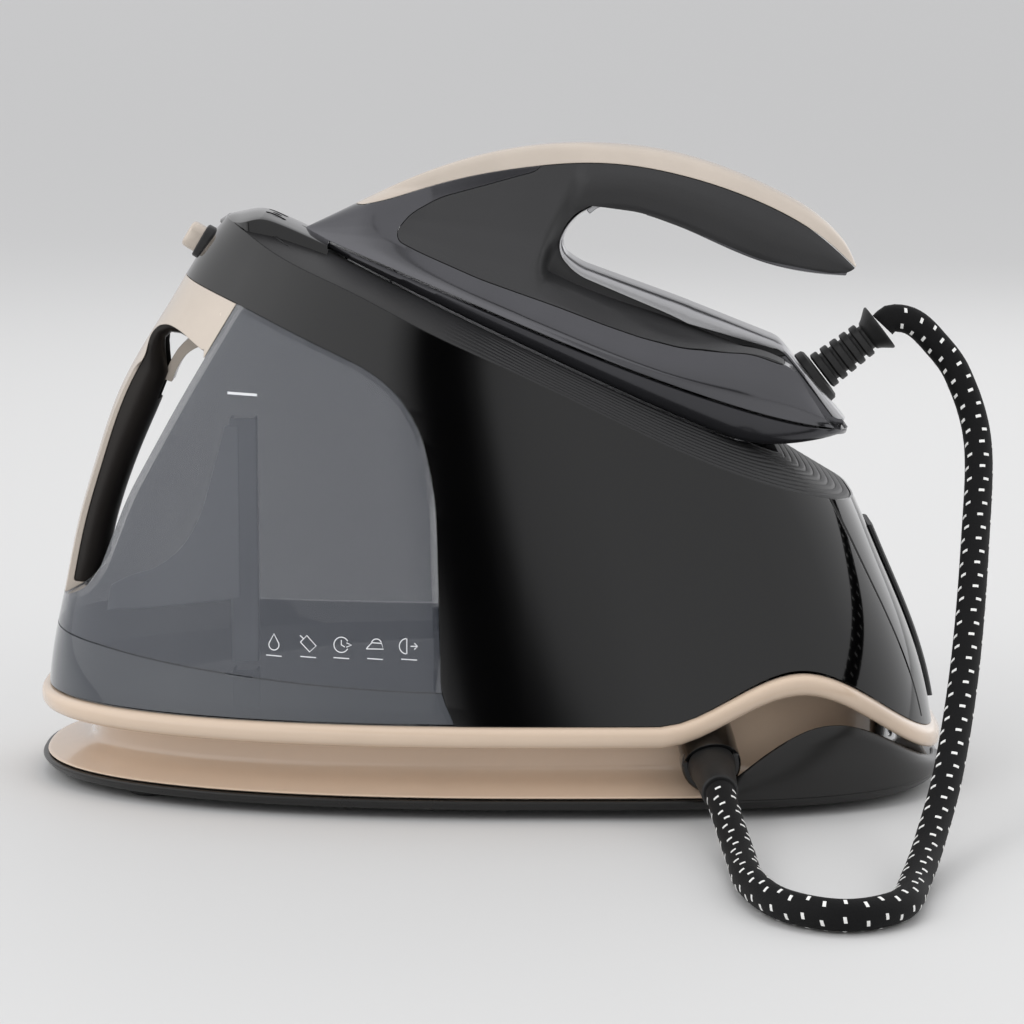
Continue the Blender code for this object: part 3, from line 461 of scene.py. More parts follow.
def smoked(name, colour, density):
    """Smoked clear plastic: part see-through, part body colour, with a gloss skin."""
    material, nodes, links = new_material(name)
    shader = nodes["Principled BSDF"]
    settle(shader, {"Roughness": 0.06, "Coat Weight": 0.5})
    place = add(nodes, "TexCoord")
    cloud = add(nodes, "TexNoise", Scale=9.0, Detail=4.0)
    links.new(place.outputs["Object"], cloud.inputs["Vector"])
    tint = fade(nodes, [c * 0.92 for c in colour], [c * 1.08 for c in colour])
    links.new(cloud.outputs["Fac"], tint.inputs["Fac"])
    links.new(tint.outputs["Color"], shader.inputs["Base Color"])
    rim = add(nodes, "LayerWeight", Blend=0.35)
    cover = add(nodes, "MapRange")
    settle(cover, {"To Min": density, "To Max": min(density + 0.35, 1.0)})
    links.new(rim.outputs["Facing"], cover.inputs["Value"])
    links.new(cover.outputs["Result"], shader.inputs["Alpha"])
    material.surface_render_method = "BLENDED"
    return material


def braided(name):
    """Black textile braid with a fine, matt weave."""
    material, nodes, links = new_material(name)
    shader = nodes["Principled BSDF"]
    settle(shader, {"Roughness": 0.75, "Sheen Weight": 0.02, "Specular IOR Level": 0.25})
    noise = add(nodes, "TexNoise", Scale=1400.0, Detail=2.0)
    place = add(nodes, "TexCoord")
    links.new(place.outputs["Object"], noise.inputs["Vector"])
    tint = fade(nodes, (0.0006, 0.0006, 0.0007), (0.0045, 0.0045, 0.005))
    links.new(noise.outputs["Fac"], tint.inputs["Fac"])
    links.new(tint.outputs["Color"], shader.inputs["Base Color"])
    bump = add(nodes, "Bump", Strength=0.5, Distance=0.0003)
    links.new(noise.outputs["Fac"], bump.inputs["Height"])
    links.new(bump.outputs["Normal"], shader.inputs["Normal"])
    return material


LOOK = {
    "gloss_black": moulded("gloss_black", (0.0008, 0.0008, 0.0009), 0.075, coat=0.3, edge=0.3),
    "satin_black": moulded("satin_black", (0.012, 0.012, 0.0125), 0.42, grain=0.25, edge=0.5),
    "pan_black": moulded("pan_black", (0.006, 0.0055, 0.005), 0.28, grain=0.1, edge=0.6),
    "champagne": moulded("champagne", (0.56, 0.49, 0.42), 0.26, metallic=0.25, coat=0.35, edge=0.6,
                         grain=0.04),
    "cream": moulded("cream", (0.65, 0.51, 0.39), 0.17, coat=0.45, edge=0.4, mottle=0.02),
    "grip_brown": moulded("grip_brown", (0.020, 0.016, 0.013), 0.34, grain=0.12, edge=0.8),
    "matte_grey": moulded("matte_grey", (0.026, 0.026, 0.027), 0.46, grain=0.3, edge=0.5),
    "gloss_grey": moulded("gloss_grey", (0.10, 0.10, 0.108), 0.13, metallic=0.85, coat=0.3,
                          edge=0.4),
    "skirt_grey": moulded("skirt_grey", (0.045, 0.045, 0.050), 0.17, metallic=0.7, coat=0.2,
                          edge=0.4),
    "silver": brushed("silver", (0.50, 0.50, 0.51), 0.28),
    "rubber": moulded("rubber", (0.008, 0.008, 0.008), 0.5, grain=0.35, edge=0.4),
    "sole": brushed("sole", (0.5, 0.51, 0.53), 0.22, across=(40.0, 1.0, 1.0)),
    "steel": brushed("steel", (0.45, 0.45, 0.46), 0.33),
    "brass": moulded("brass", (0.6, 0.4, 0.14), 0.3, metallic=1.0),
    "white_plastic": moulded("white_plastic", (0.62, 0.61, 0.58), 0.4, grain=0.1),
    "circuit_green": moulded("circuit_green", (0.01, 0.09, 0.03), 0.45, grain=0.2,
                             grain_size=300.0),
    "smoked": smoked("smoked", (0.075, 0.084, 0.104), 0.46),
    "duct": moulded("duct", (0.82, 0.85, 0.90), 0.35, grain=0.05, edge=0.4),
    "smoked_low": smoked("smoked_low", (0.072, 0.080, 0.094), 0.70),
    "clear": smoked("clear", (0.5, 0.53, 0.58), 0.18),
    "braid": braided("braid"),
    "print": moulded("print", (0.75, 0.76, 0.78), 0.5, grain=0.05),
    "fleck": moulded("fleck", (0.8, 0.8, 0.78), 0.6, grain=0.1),
}


# ---------------------------------------- base of the station

ROUND = 240  # points round the plan of the casings
GROOVE_Y = 60.0  # joint between flank and rear wall


def base_pan():
    profile = rounded([(30, 2.6), (10, 2.6), (2.6, 4.0), (0.0, 7.4), (0.2, 8.5), (2.4, 8.62)], 2.2,
                      5)
    outer = [base_ring(i, z, ROUND) for i, z in profile]
    inner = [base_ring(i, z, ROUND) for i, z in [(5, 8.55), (8, 7.6), (18, 5.6), (30, 5.6)]]
    pan = loft("base_pan_shell", outer + inner)
    piece(pan, "base", "pan_black", ["base_pan"])


def rear_shade_skin():
    """Black skin over the belt's neck at the very back, under the strip's tail: painted shade that
    stands in for the shadowed rear of the neck.
    """
    wall = NECK_INSET - 1.5
    profile = [(30, 9.2), (0.8, 9.2), (0.6, 10.2), (2.4, 11.1), (8.0, 11.9), (wall - 10, 12.9),
               (wall - 5, 14.2), (wall - 1.6, 16.2), (wall, 19.4),
               (wall, lambda x: lip_top(x) - 8.6), (34, lambda x: lip_top(x) - 8.6)]
    skin = loft("rear_shade_skin", [base_ring(inset, height, ROUND) for inset, height in profile])
    room = [(REAR_SHADE_X, 0), (REAR_SHADE_X + 60, 0), (REAR_SHADE_X + 60, 90), (REAR_SHADE_X, 90)]
    combine(skin, prism("rear_room", room, -150, 150), "INTERSECT")
    # the gloss black over the cream neck at the back is painted shade
    piece(skin, "base", "gloss_black", ["lower_housing"], sharp=40)


def lower_housing():
    """Cream belt: rounded strip on top, deep neck below it, thin rim that flares over the pan."""
    def drop(d):
        return lambda x: lip_top(x) - d

    neck = NECK_INSET
    outer = [(4.5, drop(0)), (2.6, drop(0.1)), (1.1, drop(0.7)), (0.25, drop(1.9)), (0, drop(3.4)),
             (0, drop(5.2)), (0.35, drop(6.8)), (1.3, drop(8.2)), (2.8, drop(9.0)),
             (5.0, drop(9.3)), (9, drop(9.5)), (neck - 6, drop(9.9)), (neck - 2.4, drop(10.6)),
             (neck - 0.8, drop(12.0)), (neck, drop(14.0))]
    low = [(neck + 0.2, 19.0), (neck - 0.3, 16.6), (neck - 2.0, 14.6), (neck - 5.5, 13.0),
           (neck - 11, 11.6), (8.0, 10.5), (4.0, 10.1), (2.7, 9.9), (2.3, 9.5), (2.6, 9.1)]
    inner = [(6, 9.0), (neck, 9.3), (neck + 3, 12.5), (neck + 3, drop(10)), (neck, drop(7.2)),
             (7, drop(6.2)), (7, drop(0.6)), (6.2, drop(0.05))]
    rings = [base_ring(i, z, ROUND) for i, z in outer + low + inner]
    belt = loft("cream_housing", rings, closed=True)
    piece(belt, "base", "cream", ["lower_housing"], sharp=50)


def form_solid(name, inset, bottom, top, levels=60, count=ROUND):
    rings = []
    for k in range(levels + 1):
        s = k / levels
        rings.append(form_ring(lambda x: bottom(x) * (1 - s) + top(x) * s, inset, count))
    return loft(name, rings)


def bay_outline(offset):
    line = offset_line(rounded(BAY_LINE, 16.0, 8), -offset)
    return line + [(-280, line[-1][1]), (-280, line[0][1])]


def main_housing():
    shell = form_solid("housing_shell", SKIN, lambda x: lip_top(x) + 0.3, rim_height, 72)
    seat = form_solid("plate_seat", SKIN + 0.8, lambda x: plane_height(x) - PLATE_THICK,
                      lambda x: plate_height(x) + 30, 12)
    combine(shell, seat)
    combine(shell, prism("bay", bay_outline(0.0), -150, 150))
    room = form_solid("room", SKIN + 3, lambda x: lip_top(x) - 12,
                      lambda x: plane_height(x) - PLATE_THICK - 4, 12, 96)
    combine(room, prism("bay_wall", bay_outline(3.0), -150, 150))
    combine(shell, room)
    for side in (-1, 1):
        slab = [(120, 34), (215, 34), (215, 170), (120, 170)]
        low, high = sorted((side * (GROOVE_Y - 0.8), side * (GROOVE_Y + 0.8)))
        groove = prism("groove", slab, low, high)
        core = form_solid("groove_core", SKIN + 1.5, lambda x: lip_top(x) - 12,
                          lambda x: plate_height(x) + 20, 12, 120)
        combine(shell, combine(groove, core))
    piece(shell, "base", "gloss_black", ["main_housing"], sharp=30)


def sole_outline(grow):
    """Plan of the sole in the iron's frame, moved outwards by grow, from the heel round."""
    ring = iron_ring(SOLE_INSET, lambda x: 0.0, steps=60)
    line = [(x * SOLE_STRETCH + SOLE_SHIFT, y) for x, y, _ in ring]
    closed = line[-1:] + line + line[:2]
    return offset_line(closed, -grow)[1:-1]


def meets(outline, centre, towards):
    """Share of the way from centre to a point where the line crosses a closed outline."""
    dx, dy = towards[0] - centre[0], towards[1] - centre[1]
    for (ax, ay), (bx, by) in zip(outline, outline[1:]):
        ex, ey = bx - ax, by - ay
        across = dx * ey - dy * ex
        if abs(across) < 1e-12:
            continue
        share = ((ax - centre[0]) * ey - (ay - centre[1]) * ex) / across
        along_edge = ((ax - centre[0]) * dy - (ay - centre[1]) * dx) / across
        if share > 0 and -1e-6 <= along_edge <= 1 + 1e-6:
            return share
    return 0.5


def crest_outline():
    """The ridge round the sole, in the station's plan."""
    shift = HEEL_X + CREST_Z * math.sin(TILT)
    return [(x * math.cos(TILT) + shift, y) for x, y in sole_outline(1.7)]


def crest_rise(x):
    """Height of the ridge above the rest plane, along the sole's normal, at a station x."""
    along_sole = (x - HEEL_X - CREST_Z * math.sin(TILT)) / math.cos(TILT)
    return max(CREST_Z, min(skirt_bottom(along_sole) - 1.0, CREST_Z + 5.0))


def terrace_ring(rim, shares, s, bump):
    """Ring of the plate a share s of the way from its rim to the ridge, raised by a small bump."""
    power_gain, flat_from, flat_length = 1.2, -60, 90
    ring = []
    for (x, y, z), reach in zip(rim, shares):
        keep = 1 - s * (1 - reach)
        px, py = PLATE_MIDDLE + (x - PLATE_MIDDLE) * keep, y * keep
        power = 1 + power_gain * (1 - ease((x - flat_from) / flat_length))
        climb = 1 - (1 - s) ** power
        start = z - plane_height(x)
        top = crest_rise(PLATE_MIDDLE + (x - PLATE_MIDDLE) * reach) / math.cos(TILT)
        fading = ease((px + 30) / 70)
        ring.append((px, py, plane_height(px) + start + (top - start) * climb + bump * fading))
    return ring


def sole_dish(ridge):
    """Rings inside the ridge: a steep wall down to a floor just under the sole."""
    inner = [IRON_TURN.transposed() @ Vector((x - HEEL_X, y, z - HEEL_Z)) for x, y, z in ridge]
    rings = []
    for keep, share, height in ((0.998, 0.92, 0.0), (0.996, 0.0, 1.0), (0.995, 0.0, -1.2),
                                (0.90, 0.0, -1.6)):
        ring = []
        for p in inner:
            q = IRON_TURN @ Vector(((p.x - SOLE_MIDDLE) * keep + SOLE_MIDDLE, p.y * keep,
                                    p.z * share + height))
            ring.append((q.x + HEEL_X, q.y, q.z + HEEL_Z))
        rings.append(ring)
    return rings


def rest_plate():
    """Tilted dish that rises in fine terraces from its rim to a ridge round the sole."""
    crest = crest_outline()
    rim = [form_point(angle, rim_height, SKIN + 1.0) for angle in plan_angles(ROUND)]
    shares = [meets(crest, (PLATE_MIDDLE, 0.0), p) for p in rim]
    under = PLATE_THICK - 0.6
    edge = [(under, 0.9), (under, 0.997), (0.9, 1.0), (0.25, 0.998)]
    rings = [[(PLATE_MIDDLE + (x - PLATE_MIDDLE) * keep, y * keep, z - drop) for x, y, z in rim]
             for drop, keep in edge]
    for k in range(TERRACES):
        for part, bump in ((0.06, -0.45), (0.26, 0.25), (0.42, 0.38), (0.92, -0.02)):
            rings.append(terrace_ring(rim, shares, (k + part) / TERRACES, bump))
    rings.append(terrace_ring(rim, shares, 1.0, 0.0))
    plate = loft("ribbed_rest_plate", rings + sole_dish(rings[-1]))
    piece(plate, "base", "satin_black", ["iron_rest_plate"], sharp=28)


# ---------------------------------------- water tank

TANK_FLOOR = 41.0
tank_seam = spline([(-204, 69.0), (-192, 67.5), (-175, 66.0), (-148, 62.8), (-114, 59.3),
                    (-80, 56.5), (-20, 53.9), (20, 53.5)])


def form_side(x, z, inset=SKIN):
    """Half width of the outer form at one place on its side."""
    half_width = WIDTH_AT_LIP - LEAN * (z - LIP_Z) - inset
    front, rear = front_line(z) + inset, rear_line(z) - inset
    if x > X_WIDEST:
        reach, power = rear - X_WIDEST, REAR_POWER
    else:
        reach, power = X_WIDEST - front, FRONT_POWER
    share = min(abs(x - X_WIDEST) / reach, 1.0)
    return half_width * (1 - share ** power) ** (1 / power)


def tank_form(name, inset, bottom, count=ROUND, levels=60):
    body = form_solid(name, SKIN + inset, lambda x: bottom, lambda x: plate_height(x) + 8, levels,
                      count)
    return combine(body, prism("bay_limit", bay_outline(-SEAM - inset), -150, 150), "INTERSECT")


def opening_rear():
    return rounded([(-109, 216)] + OPENING_REAR, 14.0, 6)


def handle_region():
    return opening_rear() + [(-230, 72), (-230, 240), (-109, 240)]


def tank_body():
    """Smoked shell of the tank, with a separate darker foot below its parting line."""
    shell = tank_form("tank_walls", 0.0, TANK_FLOOR)
    combine(shell, prism("handle_cut", handle_region(), -150, 150))
    room = tank_form("tank_room", 2.6, TANK_FLOOR - 6, 160, 40)
    region = offset_line(opening_rear() + [(-230, 72)], 3.0)
    combine(room, prism("handle_wall", region + [(-230, 250), (-90, 250)], -150, 150))
    combine(shell, room)
    combine(shell, turned("port", (-40, 30, 60), (1, 0, 0), [(0, 6.2), (30, 6.2)], 32))
    combine(shell, prism("filler", filler_outline(-6.0, 12.0, 2.2), -22, 22))
    xs = [-230 + 10 * k for k in range(28)]
    foot = copy_of(shell, "tank_foot")
    below = [(x, tank_seam(x) - 0.3) for x in xs] + [(50, 20), (-230, 20)]
    combine(foot, prism("foot_region", below, -150, 150), "INTERSECT")
    above = [(x, tank_seam(x) + 0.3) for x in xs] + [(50, 20), (-230, 20)]
    combine(shell, prism("foot_room", above, -150, 150))
    piece(shell, "tank", "smoked", ["tank_shell"], sharp=30)
    piece(foot, "tank", "smoked_low", sharp=30)
    rings = [form_ring(lambda x: TANK_FLOOR + z, inset, 160)
             for inset, z in ((5.4, 0.2), (5.2, 0.8), (5.2, 3.4), (5.6, 4.0))]
    floor = loft("tank_floor", rings)
    combine(floor, prism("floor_end", [(-24, 20), (260, 20), (260, 90), (-24, 90)], -150, 150))
    piece(floor, "tank", "smoked_low", ["tank_bottom"])


def front_trim(name):
    """Cutter for the head block's flanks, which narrow from the wide top to the slim strip."""
    low_z, high_z, slim, wide, steps = 181.0, 204.0, 19.0, 74.0, 14
    rings = []
    for x in (-262.0, -124.5):
        line = [(slim + (wide - slim) * ease(k / steps) ** 1.5,
                 low_z + (high_z - low_z) * k / steps) for k in range(steps + 1)]
        rings.append([(x, y, z) for y, z in [(slim, 58.0)] + line
                      + [(160.0, high_z), (160.0, 58.0)]])
    return loft(name, rings, caps="flat")


def strip_inner(z):
    """Inner edge of the handle's strip, seen from the side."""
    return front_line(z) + SKIN + STRIP_THICK


def tank_handle():
    head = tank_form("handle_head", 0.0, 70)
    rear = offset_line(opening_rear(), -SEAM)
    limit = rear + [(-240, 77), (-240, 239), (-108, 239)]
    combine(head, prism("handle_limit", limit, -150, 150), "INTERSECT")
    front = [(strip_inner(z), z) for z in np.linspace(87, 190, 30)]
    top = [(-151.5, 198), (-147.5, 202.4), (-142, 204), (-136, 202), (-124, 193.8)]
    rear_side = [p for p in opening_rear() if 86 < p[1] < 186]
    opening = rounded(rear_side + front + top, 3.0, 4, closed=True)
    combine(head, prism("opening", opening, -150, 150))
    combine(head, front_trim("trim_far"))
    near = front_trim("trim_near")
    near.data.transform(Matrix.Scale(-1, 4, (0, 1, 0)))
    near.data.flip_normals()
    combine(head, near)
    piece(head, "tank", "champagne", ["tank_handle"], sharp=32)
    handle_grip(opening)


def handle_grip(opening):
    """Soft grip inside the strip and over the top corner, hollowed for the release lever."""
    front = [(strip_inner(z), z) for z in np.linspace(80, 184, 27)]
    spine = front + [(-155.2, 191.5), (-152.0, 197.5), (-148.2, 201.6), (-142.5, 203.4),
                     (-136.5, 201.9), (-130, 198.0), (-123, 193.4)]
    depth = spline([(80, 12.6), (150, 13.2), (192, 13.0), (200, 10.5), (208, 7.2), (225, 4.6),
                    (250, 4.2)])
    run = 80.0
    rings = []
    for i, point in enumerate(spine):
        here = Vector(point)
        if i:
            run += (here - Vector(spine[i - 1])).length
        direction = (Vector(spine[min(i + 1, len(spine) - 1)])
                     - Vector(spine[max(i - 1, 0)])).normalized()
        inward = Vector((direction.y, -direction.x))
        ring = [(here.x - 0.8 * inward.x, side * GRIP_HALF, here.y - 0.8 * inward.y)
                for side in (-1, 1)]
        arc_points = []
        for k in range(25):
            turn = math.pi * k / 24
            out = depth(run) * math.sin(turn) ** 0.8
            across = -GRIP_HALF * math.copysign(abs(math.cos(turn)) ** 0.8, math.cos(turn))
            arc_points.append((here.x + inward.x * out, across, here.y + inward.y * out))
        rings.append([ring[0]] + arc_points + [ring[1]])
    grip = loft("soft_grip", rings, caps="flat")
    combine(grip, prism("grip_room", offset_line(opening + opening[:1], -0.15)[:-1], -60, 60),
            "INTERSECT")
    pocket = [(strip_inner(z) + 2.2, z) for z in (168, 178, 188)]
    pocket += [(-151.5, 196.4), (-147, 200.4), (-142, 201.6), (-120, 192), (-120, 168)]
    combine(grip, prism("lever_pocket", pocket, -9.4, 9.4))
    piece(grip, "tank", "grip_brown", ["handle_grip"], sharp=50)


def tank_release():
    outer = through([(-127.0, 198.0), (-131.0, 197.0), (-135.2, 195.2), (-139.8, 190.8),
                     (-143.8, 184.2), (-146.8, 177.2)], 5)
    inner = through([(-142.8, 175.8), (-140.4, 181.8), (-136.6, 187.6), (-131.6, 191.2),
                     (-127.0, 192.2)], 5)
    outline = [(p[0], p[1]) for p in outer + inner]
    lever = prism("release_lever", rounded(outline, 1.0, 3, closed=True), -8, 8)
    soften(lever, 0.8)
    piece(lever, "tank_release", "champagne", ["tank_release"])


FLAP_X, FLAP_LENGTH = -58.0, 21.0


def bay_height(x):
    xs, zs = zip(*sorted(BAY_LINE))
    return float(np.interp(x, xs, zs))


def filler_outline(low, high, wider):
    slope = [(FLAP_X + wider, bay_height(FLAP_X + wider)),
             (FLAP_X - FLAP_LENGTH - wider, bay_height(FLAP_X - FLAP_LENGTH - wider))]
    return offset_line(slope, -high) + offset_line(slope, -low)[::-1]


def filler_flap():
    lid = prism("filler_lid", filler_outline(-3.2, -1.2, 0.0), -20, 20)
    soften(lid, 0.5)
    piece(lid, "filler_flap", "smoked_low", ["filler_flap"])


def tank_inside():
    """Intake duct, the moulded wall beside the handle recess, and the outlet seal."""
    low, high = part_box("intake_tube")
    centre = (low + high) / 2 / MM
    x, y = centre.x - STATION_X, centre.y
    duct = [(x - 6, -5), (x + 6, -5), (x + 6, 5), (x + 4.6, 5), (x + 4.6, -3.6), (x - 4.6, -3.6),
            (x - 4.6, 5), (x - 6, 5)]
    rings = [[(px, py + y, z) for px, py in duct] for z in (47.0, 76.0, 120.0, high.z / MM)]
    channel = loft("intake_duct", rings, caps="flat")
    soften(channel, 0.4, 2)
    piece(channel, "tank", "duct", ["intake_tube"])
    crest = through([(-118, 158), (-123.5, 138), (-129.5, 118), (-137.5, 104), (-149, 94.5),
                     (-162, 90), (-170, 86)], 5)
    outline = [(p[0], p[1]) for p in crest]
    outline += [(-172, 74.5), (-148, 76), (-124, 78.5), (-112, 80), (-112, 158)]
    wall = prism("recess_wall", outline, -24, -22)
    soften(wall, 0.5, 2)
    piece(wall, "tank", "duct", ["tank_inner_wall"])
    seal = turned("outlet_seal", (-26.6, 30, 60), (1, 0, 0),
                  [(0, 4.9), (0, 5.9), (5.4, 5.9), (5.4, 4.9)], 48, True)
    piece(seal, "tank", "rubber", ["tank_valve"])


# ---------------------------------------- printed marks, all generic

def arc(cx, cz, radius, start, end, steps=16):
    turns = [math.radians(start + (end - start) * k / steps) for k in range(steps + 1)]
    return [(cx + radius * math.cos(a), cz + radius * math.sin(a)) for a in turns]


def printed(name, strokes, body, width=0.42):
    """Thin printed strokes that lie on the station's near flank."""
    points, faces = [], []
    for stroke in strokes:
        line = [Vector(p) for p in stroke]
        first = len(points)
        left, right = offset_line(line, width / 2), offset_line(line, -width / 2)
        for (ax, az), (bx, bz) in zip(left, right):
            for depth in (-0.08, 0.10):
                points.append((ax, -form_side(ax, az) - depth, az))
                points.append((bx, -form_side(bx, bz) - depth, bz))
        for k in range(len(line) - 1):
            a, b = first + 4 * k, first + 4 * k + 4
            faces += [(a, a + 1, b + 1, b), (a + 2, b + 2, b + 3, a + 3), (a, b, b + 2, a + 2),
                      (a + 1, a + 3, b + 3, b + 1)]
        faces += [(first, first + 2, first + 3, first + 1)]
        last = first + 4 * (len(line) - 1)
        faces += [(last, last + 1, last + 3, last + 2)]
    piece(mesh_object(name, points, faces), body, "print")


def pictogram(kind, cx, cz):
    """Strokes of one simple pictogram, about 8 mm wide."""
    if kind == "drop":
        return [arc(cx, cz - 1, 2.2, 140, 400),
                [(cx - 1.7, cz + 0.4), (cx, cz + 3.6), (cx + 1.7, cz + 0.4)]]
    if kind == "jug":
        return [[(cx - 3.4, cz + 0.6), (cx - 0.6, cz + 3.4), (cx + 3.4, cz - 0.8),
                 (cx + 0.6, cz - 3.4), (cx - 3.4, cz + 0.6)],
                [(cx - 2.0, cz + 2.0), (cx - 3.6, cz + 3.4)]]
    if kind == "clock":
        return [arc(cx, cz, 3.2, 30, 330), [(cx, cz + 2.0), (cx, cz), (cx + 1.5, cz - 0.9)],
                [(cx + 2.2, cz + 0.9), (cx + 4.4, cz), (cx + 2.2, cz - 0.9)]]
    if kind == "iron":
        return [[(cx - 3.8, cz - 1.4), (cx + 3.6, cz - 1.4), (cx + 2.8, cz + 1.0),
                 (cx - 1.4, cz + 1.2), (cx - 3.8, cz - 1.4)], arc(cx + 0.6, cz + 0.6, 2.2, 20, 160)]
    return [[(cx - 1.0, cz - 3.2), (cx - 1.0, cz + 3.2)], arc(cx - 1.0, cz, 3.2, 95, 265),
            [(cx + 0.6, cz), (cx + 3.6, cz)],
            [(cx + 2.2, cz + 1.3), (cx + 3.6, cz), (cx + 2.2, cz - 1.3)]]


def tank_marks():
    strokes = []
    for kind, x in zip(("drop", "jug", "clock", "iron", "steam"),
                       (-91.2, -76.3, -62.0, -47.5, -32.9)):
        strokes += pictogram(kind, x - 1.0, 73.4)
        strokes.append([(x - 4.4, 68.0), (x + 2.4, 67.7)])
    printed("tank_pictograms", strokes, "tank")
    bar = [(-113.4 + 1.32 * k, 177.4 - 0.04 * k) for k in range(11)]
    printed("level_bar", [bar], "tank", 1.1)


# ---------------------------------------- nose, buttons and rear of the station

LOCK_CENTRE = Vector((-128.5, 0.0, 238.5))
LOCK_AXIS = Vector((-0.86, 0.0, 0.51)).normalized()
PANEL_X = -101.0
BUTTON_Y = 9.0


def panel_normal():
    return Vector((math.sin(TILT), 0, math.cos(TILT)))


def panel_point(y):
    return Vector((PANEL_X, y, plate_height(PANEL_X) - 2))


def nose_panel():
    """Raised visor with a slot for the iron's tip and holes for the controls."""
    crest = spline([(-120.5, 248.4), (-117.7, 250.1), (-111.9, 251.5), (-103.8, 252.9),
                    (-99.8, 252.4), (-94, 250.1), (-82.8, 244.9), (-70, 239.0)])
    wide = spline([(-120.5, 4.5), (-117.5, 13), (-113, 23), (-108.5, 30.5), (-103, 31.0),
                   (-97, 28.5), (-84, 26.2), (-70, 24.5)])
    edge_drop = spline([(-120.5, 1.0), (-112, 2.6), (-108, 3.0), (-100, 1.9), (-94, 1.3),
                        (-70, 1.2)])
    rings = []
    for x in np.linspace(-120.3, -71.5, 60):
        top, half = crest(x), wide(x)
        low = max(plane_height(x) - 1.0, top - 14)
        shoulder = max(top - edge_drop(x), low + 0.6)
        side = [(half, low), (half, shoulder - 0.9), (half - 0.35, shoulder - 0.25),
                (half - 1.2, shoulder), (half * 0.8, shoulder + 0.35 * (top - shoulder)),
                (half * 0.5, shoulder + 0.8 * (top - shoulder)), (half * 0.25, top)]
        rings.append([(x, y, z) for y, z in side] + [(x, 0, top)]
                     + [(x, -y, z) for y, z in reversed(side)])
    visor = loft("control_panel", rings, caps="flat")
    tip = [(x, iron_half_width(x, 1.4)) for x in np.linspace(IRON_NOSE - 1.6, -205, 24)]
    plan = tip + [(x, -y) for x, y in reversed(tip)]
    slot = loft("tip_slot", [[(x, y, z) for x, y in plan] for z in (-14, 60)], caps="flat",
                place=on_iron)
    combine(visor, slot)
    for y, radius in ((-BUTTON_Y, 4.9), (0, 2.4), (BUTTON_Y, 4.9)):
        combine(visor, turned("control_hole", panel_point(y), panel_normal(),
                              [(-3, radius), (30, radius)], 48))
    piece(visor, "base", "gloss_black", ["nose_cradle"], sharp=40)


def panel_controls():
    for y, name in ((-BUTTON_Y, "power_button"), (BUTTON_Y, "steam_level_button")):
        profile = [(0.4, 4.4), (12.4, 4.5), (13.2, 4.3), (13.7, 3.7), (13.5, 2.6), (13.4, 1.2)]
        button = turned(name + "_key", panel_point(y), panel_normal(), profile, 64)
        piece(button, name, "gloss_grey", [name])
    profile = [(0.4, 2.0), (12.8, 2.0), (13.3, 1.7), (13.5, 1.0)]
    lens = turned("indicator_light", panel_point(0), panel_normal(), profile, 48)
    piece(lens, "base", "clear", ["indicator_lens"])


def squared_ring(centre, axis, half, depth, corner=3.2, sides=48):
    """A rounded-square ring about an axis."""
    across = Vector((0, 1, 0))
    other = axis.cross(across)
    ring = []
    for k in range(sides):
        a = 2 * math.pi * (k + 0.5) / sides
        c, s = math.cos(a), math.sin(a)
        reach = half / (abs(c) ** corner + abs(s) ** corner) ** (1 / corner)
        ring.append(tuple(centre + axis * depth + (across * c + other * s) * reach))
    return ring


def lock_knob():
    """Push knob in the nose, in a dark rounded-square bezel."""
    profile = [(-7, 5.2), (-2, 6.1), (4.4, 6.2), (6.6, 6.1), (7.5, 5.7), (8.0, 4.9), (8.1, 2.5)]
    knob = loft("lock_knob", [squared_ring(LOCK_CENTRE, LOCK_AXIS, r, d) for d, r in profile],
                caps="flat")
    piece(knob, "lock_button", "champagne", ["lock_button"])
    bezel = [(-4.0, 6.7), (1.0, 6.7), (1.4, 7.0), (1.4, 7.4), (0.9, 7.8), (-4.0, 8.0)]
    ring = loft("lock_bezel", [squared_ring(LOCK_CENTRE, LOCK_AXIS, r, d) for d, r in bezel],
                closed=True)
    piece(ring, "base", "satin_black")


guard_top = spline([(88, 12.2), (96, 13.0), (105, 16.6), (115.5, 24.0), (132.4, 34.4), (141, 37.6),
                    (149.5, 38.6), (158.4, 37.2), (174.5, 30.0), (190, 20.0), (203, 11.5)])


def hose_guards():
    """Bulging fins that keep the stored hose in the neck, one on each side."""
    start, end, steps = 0.42 * math.pi, 0.03 * math.pi, 90
    for sign, hand in ((-1, "left"), (1, "right")):
        rings = []
        for k in range(steps + 1):
            angle = start + (end - start) * k / steps
            x, _ = oval(angle, BASE_FRONT, BASE_REAR, BASE_HALF_WIDTH)
            top = max(guard_top(x), RIM_Z + 2.4)
            rise = top - 8.3
            profile = [(2.4, 8.3), (-0.25, 8.4), (-0.35, 8.3 + 0.3 * rise),
                       (0.0, 8.3 + 0.55 * rise), (0.9, 8.3 + 0.8 * rise), (1.9, top - 0.7),
                       (2.6, top), (3.6, top - 0.2), (3.9, top - 1.4), (3.4, 8.3 + 0.5 * rise)]
            ring = []
            for inset, z in profile:
                px, py = oval(angle, BASE_FRONT + inset, BASE_REAR - inset, BASE_HALF_WIDTH - inset)
                ring.append((px, sign * py, z))
            rings.append(ring)
        guard = loft(f"guard_fin_{hand}", rings, caps="flat")
        piece(guard, "base", "pan_black", [f"hose_guard_{hand}"], sharp=45)


CAP_AT = (168.0, 0.0, 52.0)


